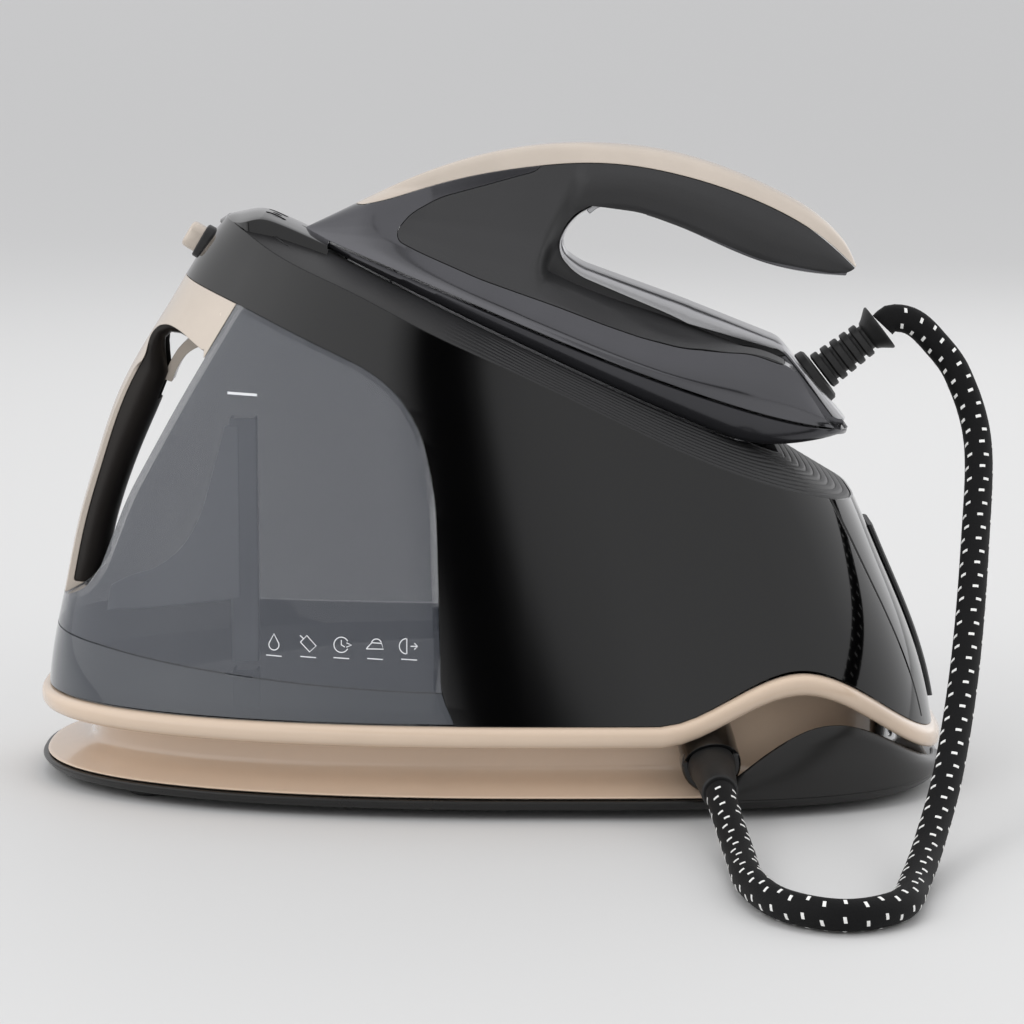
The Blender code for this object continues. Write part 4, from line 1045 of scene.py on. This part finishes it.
def rear_parts():
    """Centre strip of the rear wall, with the descaling cap in its collar."""
    rings = []
    for z in np.linspace(34, 112, 30):
        x = rear_line(z) - SKIN
        half = 19 - 0.03 * z
        profile = [(0.4, -half), (1.8, -half + 0.3), (2.5, -half + 1.4), (2.7, -half + 3),
                   (2.7, half - 3), (2.5, half - 1.4), (1.8, half - 0.3), (0.4, half)]
        rings.append([(x + out, y, z) for out, y in profile])
    strip = loft("rear_strip", rings, caps="flat")
    combine(strip, turned("cap_hole", CAP_AT, (1, 0, 0), [(0, 12.4), (45, 12.4)], 64))
    piece(strip, "base", "satin_black", ["rear_cover"])
    collar = [(0, 8.0), (0, 12.0), (16.4, 12.0), (17, 11.6), (17, 8.4), (16.6, 8.0)]
    piece(turned("drain_ring", CAP_AT, (1, 0, 0), collar, 64, closed=True), "base", "brass",
          ["drain_collar"])
    profile = [(6, 7.6), (18.8, 7.6), (19, 10.6), (19.6, 11.3), (21, 11.4), (24.4, 10.9),
               (25.6, 10.3), (26.4, 9.0), (26.5, 6)]
    cap = turned("descaling_cap", CAP_AT, (1, 0, 0), profile, 72)
    slot = prism("coin_slot", [(192.2, 50.8), (200, 50.8), (200, 53.2), (192.2, 53.2)], -7, 7)
    combine(cap, slot)
    piece(cap, "calc_cap", "satin_black", ["calc_cap"])


def feet():
    for x, side in ((-150, "front"), (155, "rear")):
        for y, hand in ((-62, "left"), (62, "right")):
            profile = [(0, 6.5), (0.3, 7.8), (0.9, 8.7), (2.0, 9.0), (3.0, 9.0)]
            foot = turned(f"pad_{side}_{hand}", (x, y, 0), (0, 0, 1), profile, 48)
            piece(foot, "base", "rubber", [f"foot_{side}_{hand}"])


def plate_rests():
    pad = rounded([(-190, -26), (-180, -26), (-180, 26), (-190, 26)], 3.0, 5, closed=True)
    rings = [[(x, y, z) for x, y in pad] for z in (-1.6, -0.2, 0.0)]
    piece(loft("sole_rest_pad", rings, caps="flat", place=on_iron), "base", "rubber",
          ["sole_pad"])
    block = rounded([(-17, -1.4), (-9, -1.4), (-9, 9), (-17, 9)], 1.6, 4, closed=True)
    stop = prism("heel_rest", block, -13, 13, place=on_iron)
    soften(stop, 0.8)
    piece(stop, "base", "satin_black", ["heel_stop"])


CORD_EXIT = (60.0, 84.0, 22.0)
PLUG_Z = 17.0
CORD_RADIUS = 3.5


def power_supply():
    ribs = [(0, 4.8), (8, 4.8), (8, 7.2), (8.5, 7.5), (11.6, 7.2)]
    for k in range(4):
        start = 12.6 + 3.2 * k
        ribs += [(start, 5.0 - 0.1 * k), (start + 0.6, 6.4 - 0.45 * k),
                 (start + 2.0, 6.3 - 0.45 * k), (start + 2.4, 4.9 - 0.1 * k)]
    ribs += [(26, 4.6)]
    grommet = turned("cord_relief", CORD_EXIT, (0, 1, 0), ribs, 48)
    piece(grommet, "base", "rubber", ["cord_grommet"])
    low = CORD_RADIUS
    knots = [(60, 110.8, 22), (60, 122, 20.5), (62, 138, 12), (64, 165, low + 0.3), (60, 205, low),
             (30, 252, low), (-30, 282.7, low), (-80, 268, low), (-104, 240, low)]
    coarse = [Vector((p.x, p.y, max(p.z, low))) for p in through(knots, 3)]
    direction = coarse[-1] - coarse[-2]
    direction.z = 0.0
    direction.normalize()
    at = Vector((coarse[-1].x, coarse[-1].y, PLUG_Z)) + direction * 0.5
    climb = [(-62, 275.6, low), (-82, 265.6, low + 2.2), (-95, 252.4, PLUG_Z - 4.2), tuple(at),
             tuple(at + direction * 5)]
    path = [Vector((p.x, p.y, max(p.z, low))) for p in through(knots[:-2] + climb, 12)]
    piece(tube("mains_cord", path, CORD_RADIUS, 24), "base", "rubber", ["power_cord"])
    body = [(0, 4.4), (1, 5.2), (6, 7.0), (9, 9.4), (12, 14.0), (15, 16.2), (18, 16.9), (32, 16.9),
            (34, 16.2), (36.5, 15.4), (38, 14.4), (38, 8)]
    plug = turned("mains_plug", at, direction, body, 64)
    across = direction.cross(Vector((0, 0, 1)))
    piece(plug, "base", "rubber", ["power_plug"])
    for hand, name in ((-1, "left"), (1, "right")):
        root = at + direction * 37 + across * 9.5 * hand
        pin = turned(f"plug_pin_{name}", root, direction,
                     [(0, 2.4), (17, 2.4), (18.6, 2.0), (19.6, 1.2)], 24)
        piece(pin, "base", "steel")


# ---------------------------------------- carried-over solids

def dress_carried_nodes():
    """Gives each CAD solid that stays visible the material of its slot."""
    slots = {row["node"]: row["material_slot"] for row in frame["record"]["subparts"]}
    for name, thing in frame["nodes"].items():
        slot = slots.get(name)
        look = "smoked_low" if slot == "tank_grey" else slot
        thing.data.materials.clear()
        thing.data.materials.append(LOOK.get(look, LOOK["satin_black"]))


# ---------------------------------------- iron, in its own frame

IRON_NOSE, IRON_HEEL, IRON_HALF_WIDTH = -257.6, 0.0, 57.0
iron_top = spline([(-258.2, 11.6), (-240, 33.6), (-227.5, 48.5), (-204, 71.7), (-178, 90.3),
                   (-161, 99.2), (-128.5, 111.2), (-91.6, 116.6), (-72, 116.8), (-56.4, 115.6),
                   (-42.2, 111.8), (-33, 107), (-26, 101)])
iron_seam = spline([(-258.5, 11.2), (-210, 14.6), (-126, 19.2), (-70, 24), (-23, 31), (1, 36)])
skirt_bottom = spline([(-258, 9), (-200, 9.2), (-120, 10), (-60, 11.5), (-40, 14), (-23, 21),
                       (1, 35)])
panel_top = spline([(-258, 13), (-240, 20), (-219, 25.5), (-206.6, 26), (-177.8, 27.3),
                    (-159.4, 29.4), (-141, 31.4), (-120, 33.1), (-103.8, 34.9), (-86, 38.2),
                    (-69.3, 44.1), (-57.1, 49.0), (-40, 50.5), (-6, 37)])
recess_low = spline([(-160, 37.5), (-144.3, 38.6), (-105.5, 39.2), (-86, 40.5), (-69, 45.6),
                     (-57, 49.8), (-40, 51.2), (-6, 37.6)])
deck_top = spline([(-156, 50.5), (-139, 50), (-91.6, 54.3), (-50, 56.8), (-41, 56.4), (-30.4, 50.8),
                   (-3, 38.6)])
grip_under = spline([(-153, 70), (-141, 77), (-124.8, 82.5), (-96.3, 84.9), (-67, 86),
                     (-35.7, 93.4), (-26, 97)])
strip_low = spline([(-240.5, 31.5), (-231.4, 38.3), (-211, 56), (-181.8, 77.5), (-150.9, 94.6),
                    (-120, 104.2), (-89, 108.6), (-65, 108.9), (-47.6, 106.7), (-36, 103.6),
                    (-26, 100.2)])
grip_half = spline([(-153, 17.5), (-120, 18.5), (-90, 18.5), (-65, 17), (-48, 13.5), (-36, 9.5),
                    (-26, 5.5)])
strip_half = spline([(-240, 3.5), (-215, 6.5), (-200, 8.5), (-175, 12), (-153, 14.5)])

BAND_LINE = [(-145.2, 74.6), (-149.5, 69.5), (-151.6, 62.5), (-150.9, 56.2), (-147.4, 52.2),
             (-139, 50.2), (-91.6, 54.3), (-44, 57), (-39.5, 55.6), (-30.4, 50.8), (-2.6, 38.2)]
OPENING_ROOF = [(20, 30), (20, 140), (-22, 128), (-25, 108), (-26.2, 101.5), (-28.5, 97),
                (-35.7, 93.4), (-67, 86), (-96.3, 84.9), (-124.8, 82.5), (-141, 77.5)]
MATTE_REGION = [(-219.6, 29.6), (-217.0, 26.2), (-206.6, 26.0), (-177.8, 27.3), (-159.4, 29.4),
                (-141, 31.4), (-120, 33.1), (-103.8, 34.9), (-86, 38.2), (-69.3, 44.1),
                (-57.1, 49.0), (-40, 50.5), (-34, 60), (-5, 80), (-5, 140), (-172, 140),
                (-173.5, 80), (-180.2, 74.5), (-194.4, 62.3), (-208.4, 50.5), (-217.4, 38.3)]


def iron_half_width(x, grow=0.0):
    """Half width of the iron at its seam: a pointed nose that widens to a rounded heel."""
    t = min(max((x - IRON_NOSE) / (IRON_HEEL - IRON_NOSE), 0.0), 1.0)
    nose = math.sin(min(t / 0.75, 1.0) * math.pi / 2) ** 0.72
    heel = max(1 - max((t - 0.78) / 0.22, 0.0) ** 2.4, 0.0) ** 0.5
    return max((IRON_HALF_WIDTH + grow) * nose * (0.25 + 0.75 * heel), 0.6)


def nose_section(x):
    """Convex half-section of the pointed nose."""
    half, low, high = iron_half_width(x), iron_seam(x), max(iron_top(x), iron_seam(x) + 0.8)
    turns = [math.pi / 2 * s for s in (0, 0.1, 0.2, 0.33, 0.47, 0.58, 0.67, 0.75, 0.82, 0.89, 0.96,
                                       1)]
    return [(half * math.cos(a) ** 0.85, low + (high - low) * math.sin(a) ** 1.15) for a in turns]


def post_section(x):
    """Half-section of the front post: flared at the seam, slim under the light strip."""
    half, low, first, high = iron_half_width(x), iron_seam(x), panel_top(x), iron_top(x)
    wide, slim = 0.9 * half, strip_half(x)
    edge = max(strip_low(x), first + 2)
    shares = [(0.18, 0.70), (0.42, 0.38), (0.62, 0.22), (0.77, 0.12), (0.86, 0.07), (0.93, 0.035)]
    side = [(slim + (wide - slim) * share, first + (edge - first) * up) for up, share in shares]
    return [(half, low), (half * 0.99, low + 0.4 * (first - low)), (wide, first)] + side + [
        (slim, edge), (0.62 * slim, high - 0.12 * (high - edge)), (0, high)]


def deck_section(x):
    """Half-section behind the post: gloss panel, chamfer, undercut, deck and the grip above."""
    half, low, first, high = iron_half_width(x), iron_seam(x), panel_top(x), iron_top(x)
    under, grip = grip_under(x), grip_half(x)
    rise = high - under
    ledge = max(min(0.88 * half - 9, 30), 17)
    trough = max(deck_top(x) - 8.5, low + 1.2)
    return [(half, low), (half * 0.99, low + 0.4 * (first - low)), (0.88 * half, first),
            (ledge, recess_low(x)), (15, trough), (15, max(deck_top(x) - 2, trough + 1.5)),
            (0.75 * grip, under - 4), (0.84 * grip, under + 0.1 * rise),
            (grip, under + 0.45 * rise), (0.86 * grip, min(strip_low(x), high - 0.16 * rise)),
            (0.52 * grip, high - 0.05 * rise), (0, high)]


def mixed(first, second, share):
    return [(a[0] + (b[0] - a[0]) * share, a[1] + (b[1] - a[1]) * share)
            for a, b in zip(first, second)]


def iron_half_section(x):
    section = mixed(nose_section(x), post_section(x), ease((x + 238) / 26))
    return mixed(section, deck_section(x), ease((x + 160) / 9))


def refined(section, sharp, per_span=5):
    """Half-section refined between its corners; the points named in sharp stay crisp."""
    line = []
    for i in range(len(section) - 1):
        b, c = Vector(section[i]), Vector(section[i + 1])
        a = 2 * b - c if i == 0 or i in sharp else Vector(section[i - 1])
        d = 2 * c - b if i + 2 >= len(section) or i + 1 in sharp else Vector(section[i + 2])
        for k in range(per_span):
            t = k / per_span
            line.append(tuple(0.5 * (2 * b + (c - a) * t + (2 * a - 5 * b + 4 * c - d) * t ** 2
                                     + (3 * b - a - 3 * c + d) * t ** 3)))
    return line + [section[-1]]


def iron_ring(inset, line, drop=0.0, steps=72):
    """Plan ring of the iron at the height of a profile; first point at the heel."""
    middle = (IRON_HEEL - inset + IRON_NOSE + 2.2 * inset) / 2
    reach = (IRON_HEEL - IRON_NOSE - 3.2 * inset) / 2
    xs = [middle + reach * math.cos(math.pi * i / steps) for i in range(steps + 1)]
    side = [(x, iron_half_width(x, -inset), line(x) - drop) for x in xs]
    return ([(side[0][0], 0.0, side[0][2])] + side[1:-1] + [(side[-1][0], 0.0, side[-1][2])]
            + [(x, -y, z) for x, y, z in reversed(side[1:-1])])


def iron_blank():
    """The whole upper iron, with the opening under the grip cut away."""
    places = [IRON_NOSE + 0.3 + 1.2 * k for k in range(8)]
    places += list(np.linspace(-247, -162, 46)) + list(np.linspace(-160.5, -150, 22))
    places += list(np.linspace(-148, -46, 50)) + list(np.linspace(-44.5, -3, 30))
    rings = []
    for x in places:
        half = refined(iron_half_section(x), sharp=(2, 3, 4, 9))
        rings.append([(x, y, z) for y, z in half] + [(x, -y, z) for y, z in reversed(half[:-1])])
    body = loft("iron_blank", rings, caps="flat", place=on_iron)
    lining = offset_line(rounded(BAND_LINE, 6.0, 4), -1.6)
    combine(body, prism("opening", lining + rounded(OPENING_ROOF, 5.0, 4), -150, 150,
                        place=on_iron))
    return body


def copy_of(thing, name):
    twin = bpy.data.objects.new(name, thing.data.copy())
    bpy.context.scene.collection.objects.link(twin)
    return twin


def strip_region(gap):
    line = [(x, strip_low(x) - gap) for x in np.linspace(-242, -26, 60)]
    return line + [(-16, 100), (-16, 150), (-262, 150), (-262, 34 - gap), (-244, 33.4 - gap)]


def iron_bodies():
    blank = iron_blank()
    cover = copy_of(blank, "handle_strip")
    combine(cover, prism("strip_region", strip_region(0.0), -150, 150, place=on_iron), "INTERSECT")
    combine(blank, prism("strip_region", strip_region(0.35), -150, 150, place=on_iron))
    saddle = copy_of(blank, "saddle_and_grip")
    matte = rounded(MATTE_REGION, 5.0, 5, closed=True)
    combine(saddle, prism("matte_region", matte, -150, 150, place=on_iron), "INTERSECT")
    combine(blank, prism("matte_room", offset_line(matte + matte[:1], -0.3)[:-1], -150, 150,
                         place=on_iron))
    pocket = [(-151, 60), (-122.5, 60), (-121, 97), (-149, 94)]
    combine(saddle, prism("trigger_pocket", pocket, -8.5, 8.5, place=on_iron))
    notch = [(-38.5, 53), (-36, 50), (-13.5, 35.4), (12, 28), (12, 80), (-38.5, 80)]
    for low, high in ((-90, -18.5), (18.5, 90)):
        combine(blank, prism("heel_notch", notch, low, high, place=on_iron))
    blank.name = "iron_side_panels"
    piece(cover, "iron", "champagne", ["handle_cover"])
    piece(saddle, "iron", "matte_grey", ["handle_shell"])
    piece(blank, "iron", "gloss_grey", ["iron_housing"])


def iron_skirt():
    profile = [(4.5, iron_seam, 0.9), (1.2, iron_seam, 0.9), (0.5, iron_seam, 1.5),
               (0.6, iron_seam, 3.0)]
    rings = [iron_ring(inset, line, drop) for inset, line, drop in profile]
    rings += [iron_ring(i, skirt_bottom, -d)
              for i, d in [(1.2, 2.2), (2.2, 0.7), (3.4, 0.1), (5.2, 0.0), (7.0, 0.6)]]
    skirt = loft("iron_skirt_ring", rings, place=on_iron)
    piece(skirt, "iron", "skirt_grey", ["iron_skirt"])


def soleplate():
    """Ironing sole with steam holes in two rows that follow its edge."""
    def flat(z):
        return lambda x: z

    profile = [(8.0, 0.35), (6.4, 0.6), (5.4, 1.3), (5.0, 2.4), (5.0, 7.0)]
    rings = [[(x * SOLE_STRETCH + SOLE_SHIFT, y, z) for x, y, z in iron_ring(inset, flat(z))]
             for inset, z in profile]
    sole = loft("polished_sole", rings, place=on_iron)
    holes = []
    for inset, count in ((14.0, 15), (26.0, 9)):
        for hand in (-1, 1):
            for k in range(count):
                x = -206 + (150 if inset < 20 else 110) * k / count
                y = hand * max(iron_half_width((x - SOLE_SHIFT) / SOLE_STRETCH, -inset), 1.5)
                holes.append((x, y))
    points, faces = [], []
    for x, y in holes:
        first = len(points)
        ring = ring_about((x, y, -1), (0, 0, 1), 1.3, 12)
        points += ring + [(px, py, 2.2) for px, py, _ in ring]
        faces += [(first + i, first + (i + 1) % 12, first + 12 + (i + 1) % 12, first + 12 + i)
                  for i in range(12)]
        faces += [tuple(range(first, first + 12)), tuple(range(first + 12, first + 24))]
    combine(sole, mesh_object("steam_holes", points, faces, place=on_iron))
    piece(sole, "iron", "sole", ["soleplate"])


def opening_band():
    """Satin band: thin at the opening's front, broad along the deck, then down the heel."""
    path = rounded(BAND_LINE, 6.0, 6)
    length = run_lengths(path)
    depth = spline([(0, 1.2), (18, 1.5), (28, 3.5), (45, 5.5), (80, 7.2), (115, 7.4), (125, 4.6),
                    (170, 4.4)])
    half = spline([(0, 9), (14, 14), (30, 17), (50, 18), (120, 18), (170, 17)])
    rings = []
    for i, point in enumerate(path):
        along = (Vector(path[min(i + 1, len(path) - 1)]) - Vector(path[max(i - 1, 0)])).normalized()
        down = Vector((along.y, -along.x))
        d, h = depth(length[i]), half(length[i])
        side = [(h - 1.2, d), (h, d - 0.2), (h + 0.1, d * 0.62), (h - 0.5, d * 0.34),
                (h - 1.9, d * 0.12), (h - 4.2, 0.0), (h * 0.4, -0.1)]
        across = side + [(-y, s) for y, s in reversed(side)]
        rings.append([(point[0] + down.x * s, y, point[1] + down.y * s) for y, s in across])
    band = loft("satin_band", rings, caps="flat", place=on_iron)
    piece(band, "iron", "silver", ["opening_band"], sharp=40)


def grip_highlight_strip():
    """Thin lighter strip along the edge of the grip's underside: a painted highlight on the
    handle's lower edge.
    """
    rings = []
    for x in np.linspace(-122, -29, 60):
        half = 0.84 * grip_half(x) - 1.5
        z = grip_under(x)
        rings.append([(x, half, z + 1.2), (x, half, z - 0.3), (x, half - 0.8, z - 0.7),
                      (x, -half + 0.8, z - 0.7), (x, -half, z - 0.3), (x, -half, z + 1.2)])
    trim = loft("grip_underside_highlight", rings, caps="flat", place=on_iron)
    # the glossier grey strip on the matte saddle is a painted highlight of the grip's lower edge
    piece(trim, "iron", "gloss_grey")


def steam_trigger():
    spine = through([(-146.2, 72.5), (-143.5, 77.2), (-137.5, 81.0), (-129, 83.0), (-124.5, 83.6)],
                    6)
    spine = [(p[0], p[1]) for p in spine]
    outline = offset_line(spine, 1.1) + offset_line(spine, -1.5)[::-1]
    trigger = prism("trigger_bar", outline, -7.3, 7.3, place=on_iron)
    soften(trigger, 0.6)
    piece(trigger, "steam_trigger", "silver", ["steam_trigger"])


HEEL_BOOT = (149.4, 0.0, 179.4)
HEEL_BOOT_AXIS = (0.792, 0.0, 0.610)
HEEL_BOOT_LENGTH = 33.5
OUTLET = (94.0, -84.0, 26.0)
OUTLET_AXIS = (0.05, -1.0, -0.12)
HOSE_RADIUS = 6.2


def along(origin, axis, distance):
    return Vector(origin) + Vector(axis).normalized() * distance


def heel_boot():
    collar = [(-5.5, 8.0), (-5.5, 12.5), (-4.6, 13.4), (-1.6, 13.0), (-0.7, 11.8), (-0.4, 8.6)]
    ring = turned("heel_collar", HEEL_BOOT, HEEL_BOOT_AXIS, collar, 64)
    piece(ring, "iron", "rubber", ["boot_collar"])
    profile = [(0.0, 7.4)]
    for rib in range(5):
        start, radius = 0.4 + rib * 5.2, 9.0 - rib * 0.22
        profile += [(start, radius - 0.5), (start + 0.4, radius), (start + 3.0, radius - 0.05),
                    (start + 3.5, radius - 0.6), (start + 3.6, radius - 2.1),
                    (start + 4.9, radius - 2.1)]
    profile += [(26.6, 7.0), (28.4, 8.0), (30.6, 9.7), (32.2, 11.0), (33.0, 11.3), (33.5, 10.9),
                (33.5, 7.0)]
    boot = turned("heel_boot_ribbed", HEEL_BOOT, HEEL_BOOT_AXIS, profile, 64)
    piece(boot, "iron", "rubber", ["iron_hose_boot"])


def hose_path():
    low = HOSE_RADIUS
    knots = [along(OUTLET, OUTLET_AXIS, 58.2), (99, -166, 13), (101.5, -200, 7.6),
             (103.5, -235, low + 0.1), (114, -266, low), (136, -280, low), (158, -266, low),
             (168, -232, low + 0.6), (178, -196, 14), (190, -158, 34), (202, -112, 68),
             (212, -62, 110), (217.9, -22, 150), (211, -5, 178), (200, 0, 193.5), (190.5, 0, 202),
             along(HEEL_BOOT, HEEL_BOOT_AXIS, HEEL_BOOT_LENGTH + 6.5),
             along(HEEL_BOOT, HEEL_BOOT_AXIS, HEEL_BOOT_LENGTH + 1.2)]
    path = [Vector((p.x, p.y, max(p.z, low))) for p in through(knots, 12)]
    return evenly(path, 2.25)


def evenly(path, spacing):
    """The path sampled again at an even spacing."""
    length = run_lengths(path)
    count = max(int(length[-1] / spacing), 2)
    places = np.linspace(0, length[-1], count + 1)
    return [Vector(tuple(float(np.interp(s, length, [p[k] for p in path])) for k in range(3)))
            for s in places]


def frames_along(path):
    """(point, across, other) at each point of the path, without twist."""
    across = Vector((0, 0, 1))
    frames = []
    for i, point in enumerate(path):
        direction = (path[min(i + 1, len(path) - 1)] - path[max(i - 1, 0)]).normalized()
        across = (across - direction * across.dot(direction)).normalized()
        frames.append((point, across, direction.cross(across)))
    return frames


def steam_hose():
    """Braided hose and the light flecks woven into it."""
    path = hose_path()
    hose = tube("braided_hose", path, HOSE_RADIUS, 32)
    piece(hose, None, "braid", ["steam_hose"])
    flecks = hose_flecks(path)
    piece(flecks, None, "fleck")
    for thing in (hose, flecks):
        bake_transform(thing)


def hose_flecks(path):
    """Short light threads in rows round the hose, every second row turned a little."""
    around, row_gap, half_turn = 5, 3, 0.20
    frames = frames_along(path)
    points, faces = [], []
    for row, k in enumerate(range(2, len(frames) - 3, row_gap)):
        for n in range(around):
            middle = 2 * math.pi * n / around + 0.35 + 0.3 * (row % 2)
            first = len(points)
            for radius in (HOSE_RADIUS - 0.15, HOSE_RADIUS + 0.16):
                for step in (-0.30, 0.30):
                    for part in (-1, -0.33, 0.33, 1):
                        turn = middle + half_turn * part
                        here, across, other = frames[k]
                        point = here.lerp(frames[k + 1][0], 0.5 + step + 0.10 * part)
                        out = across * math.cos(turn) + other * math.sin(turn)
                        points.append(tuple(point + out * radius))
            for i in range(3):
                for corners in ((8, 9, 13, 12), (0, 4, 5, 1), (0, 1, 9, 8), (4, 12, 13, 5)):
                    faces.append(tuple(first + i + corner for corner in corners))
            for corners in ((0, 8, 12, 4), (3, 7, 15, 11)):
                faces.append(tuple(first + corner for corner in corners))
    return mesh_object("hose_flecks", points, faces)


def base_outlet():
    """Cowl in the neck and the smooth boot of the hose."""
    cowl = [(-2, 8.6), (2, 8.8), (6, 9.4), (9.2, 10.9), (12, 12.4), (16, 12.9), (19.5, 12.6),
            (21.5, 12.9), (23.6, 12.6), (24.4, 11.8), (24.4, 9.8)]
    hood = turned("hose_cowl", OUTLET, OUTLET_AXIS, cowl, 72)
    piece(hood, "base", "gloss_black", ["hose_outlet"])
    tunnel = tube("hose_tunnel", [Vector(p) for p in ((93, -88, 32), (94, -99, 29),
                                                      (95.2, -106.5, 23.6))], 12.3, 64)
    piece(tunnel, "base", "gloss_black")
    profile = [(24.7, 9.0), (24.9, 9.9), (25.8, 10.2), (27.2, 9.9), (28.2, 9.5), (34, 9.1),
               (44, 8.4), (55.6, 7.8), (56.6, 7.6), (57.1, 7.0), (57.1, 5)]
    boot = turned("base_boot_smooth", OUTLET, OUTLET_AXIS, profile, 64)
    piece(boot, "base", "rubber", ["base_hose_boot"])


# ---------------------------------------- stage

def studio_world():
    """Pale backdrop for the camera; reflections see two soft walls with a dark gap between."""
    world = bpy.data.worlds.new("studio")
    bpy.context.scene.world = world
    world.use_nodes = True
    nodes, links = world.node_tree.nodes, world.node_tree.links
    nodes.clear()
    place = add(nodes, "TexCoord")
    split = add(nodes, "SeparateXYZ")
    links.new(place.outputs["Generated"], split.inputs["Vector"])
    turn = add(nodes, "Math", operation="ARCTAN2")
    back = add(nodes, "Math", operation="MULTIPLY")
    back.inputs[1].default_value = -1.0
    links.new(split.outputs["Y"], back.inputs[0])
    links.new(split.outputs["X"], turn.inputs[0])
    links.new(back.outputs["Value"], turn.inputs[1])
    lean = add(nodes, "Math", operation="ADD")
    links.new(turn.outputs["Value"], lean.inputs[0])
    links.new(split.outputs["Z"], lean.inputs[1])
    share = add(nodes, "MapRange")
    settle(share, {"From Min": -math.pi, "From Max": math.pi})
    links.new(lean.outputs["Value"], share.inputs["Value"])
    walls = fade(nodes, (0.55, 0.55, 0.56), (0.55, 0.55, 0.56))
    for degrees, level in WALL_LEVELS:
        stop = walls.color_ramp.elements.new((degrees + WALL_LEAN + 180) / 360)
        stop.color = (level, level, level * 1.01, 1)
    links.new(share.outputs["Result"], walls.inputs["Fac"])
    height = fade(nodes, (1, 1, 1), (0, 0, 0), 0.74, 0.94)
    rise = add(nodes, "MapRange")
    rise.inputs["From Min"].default_value = -1.0
    links.new(split.outputs["Z"], rise.inputs["Value"])
    links.new(rise.outputs["Result"], height.inputs["Fac"])
    blend = add(nodes, "MixRGB")
    blend.inputs["Color1"].default_value = (*SKY_LEVEL, 1)
    links.new(height.outputs["Color"], blend.inputs["Fac"])
    links.new(walls.outputs["Color"], blend.inputs["Color2"])
    seen, lit = add(nodes, "Background", Strength=1.0), add(nodes, "Background", Strength=1.0)
    seen.inputs["Color"].default_value = (*BACKDROP, 1)
    links.new(blend.outputs["Color"], lit.inputs["Color"])
    ray, choose, out = add(nodes, "LightPath"), add(nodes, "MixShader"), add(nodes, "OutputWorld")
    links.new(ray.outputs["Is Camera Ray"], choose.inputs["Fac"])
    links.new(lit.outputs["Background"], choose.inputs[1])
    links.new(seen.outputs["Background"], choose.inputs[2])
    links.new(choose.outputs["Shader"], out.inputs["Surface"])


def pale_floor():
    bpy.ops.mesh.primitive_plane_add(size=FLOOR_SIZE, location=(0, 0, -0.0005))
    floor = bpy.context.object
    floor.name = "stage_floor"
    material, nodes, links = new_material("stage_floor")
    shader = nodes["Principled BSDF"]
    settle(shader, {"Base Color": (*FLOOR, 1), "Roughness": 0.6})
    floor.data.materials.append(material)


def lamps():
    """Soft area lights that the glossy parts don't mirror."""
    for name, place, aim, size, power in STUDIO:
        lamp = bpy.data.lights.new(name, "AREA")
        lamp.shape = "RECTANGLE"
        lamp.size, lamp.size_y = size
        lamp.energy = power
        holder = bpy.data.objects.new(name, lamp)
        holder.location = place
        holder.rotation_mode = "QUATERNION"
        holder.rotation_quaternion = (Vector(aim) - Vector(place)).to_track_quat("-Z", "Y")
        holder.visible_glossy = False
        bpy.context.scene.collection.objects.link(holder)


def photographer():
    """Camera level with the station's flank, looking slightly down."""
    camera = bpy.data.cameras.new("camera")
    camera.lens, camera.sensor_width = 117.5, 36.0
    camera.clip_start, camera.clip_end = 0.05, FLOOR_SIZE
    eye = bpy.data.objects.new("camera", camera)
    eye.location = on_station((10.0, -1500.0, 355.6))
    eye.rotation_euler = Euler((math.radians(90 - 9.1), 0, 0))
    bpy.context.scene.collection.objects.link(eye)
    bpy.context.scene.camera = eye
    bpy.context.scene.view_settings.view_transform = "Standard"


# Level of the reflected walls by compass angle: 0 is behind the camera, positive to the hose
WALL_LEVELS = [(-150, 0.8), (-110, 1.1), (-60, 1.5), (-40, 1.35), (-24, 1.05), (-12, 0.92),
               (-9.2, 0.3), (-8.4, 0.0), (-2.6, 0.0), (-1.4, 0.62), (3.0, 0.74), (40, 0.74),
               (70, 0.8), (100, 1.1), (140, 1.4)]
WALL_LEAN = 15.1  # the walls are slanted; this is the height angle at which the compass angles hold
SKY_LEVEL = (0.8, 0.8, 0.82)
BACKDROP = (0.62, 0.62, 0.615)
FLOOR = (0.62, 0.62, 0.615)
FLOOR_SIZE = 400.0
STUDIO = [
    ("key_left", (-1.6, -1.5, 1.9), (0, 0, 0.12), (1.2, 1.2), 14.0),
    ("fill_right", (1.7, -1.3, 1.2), (0, 0, 0.12), (1.0, 1.4), 7.0),
    ("top", (0.1, 0.3, 2.3), (0, 0, 0.1), (1.8, 1.2), 12.0),
    ("rear", (0.6, 1.8, 1.4), (0, 0, 0.15), (1.4, 0.9), 8.0),
]

dress_carried_nodes()
base_pan()
lower_housing()
rear_shade_skin()
main_housing()
rest_plate()
hose_guards()
nose_panel()
panel_controls()
lock_knob()
rear_parts()
feet()
plate_rests()
power_supply()
tank_body()
tank_handle()
tank_release()
filler_flap()
tank_inside()
tank_marks()
iron_bodies()
iron_skirt()
soleplate()
opening_band()
grip_highlight_strip()
steam_trigger()
heel_boot()
steam_hose()
base_outlet()
pale_floor()
studio_world()
lamps()
photographer()
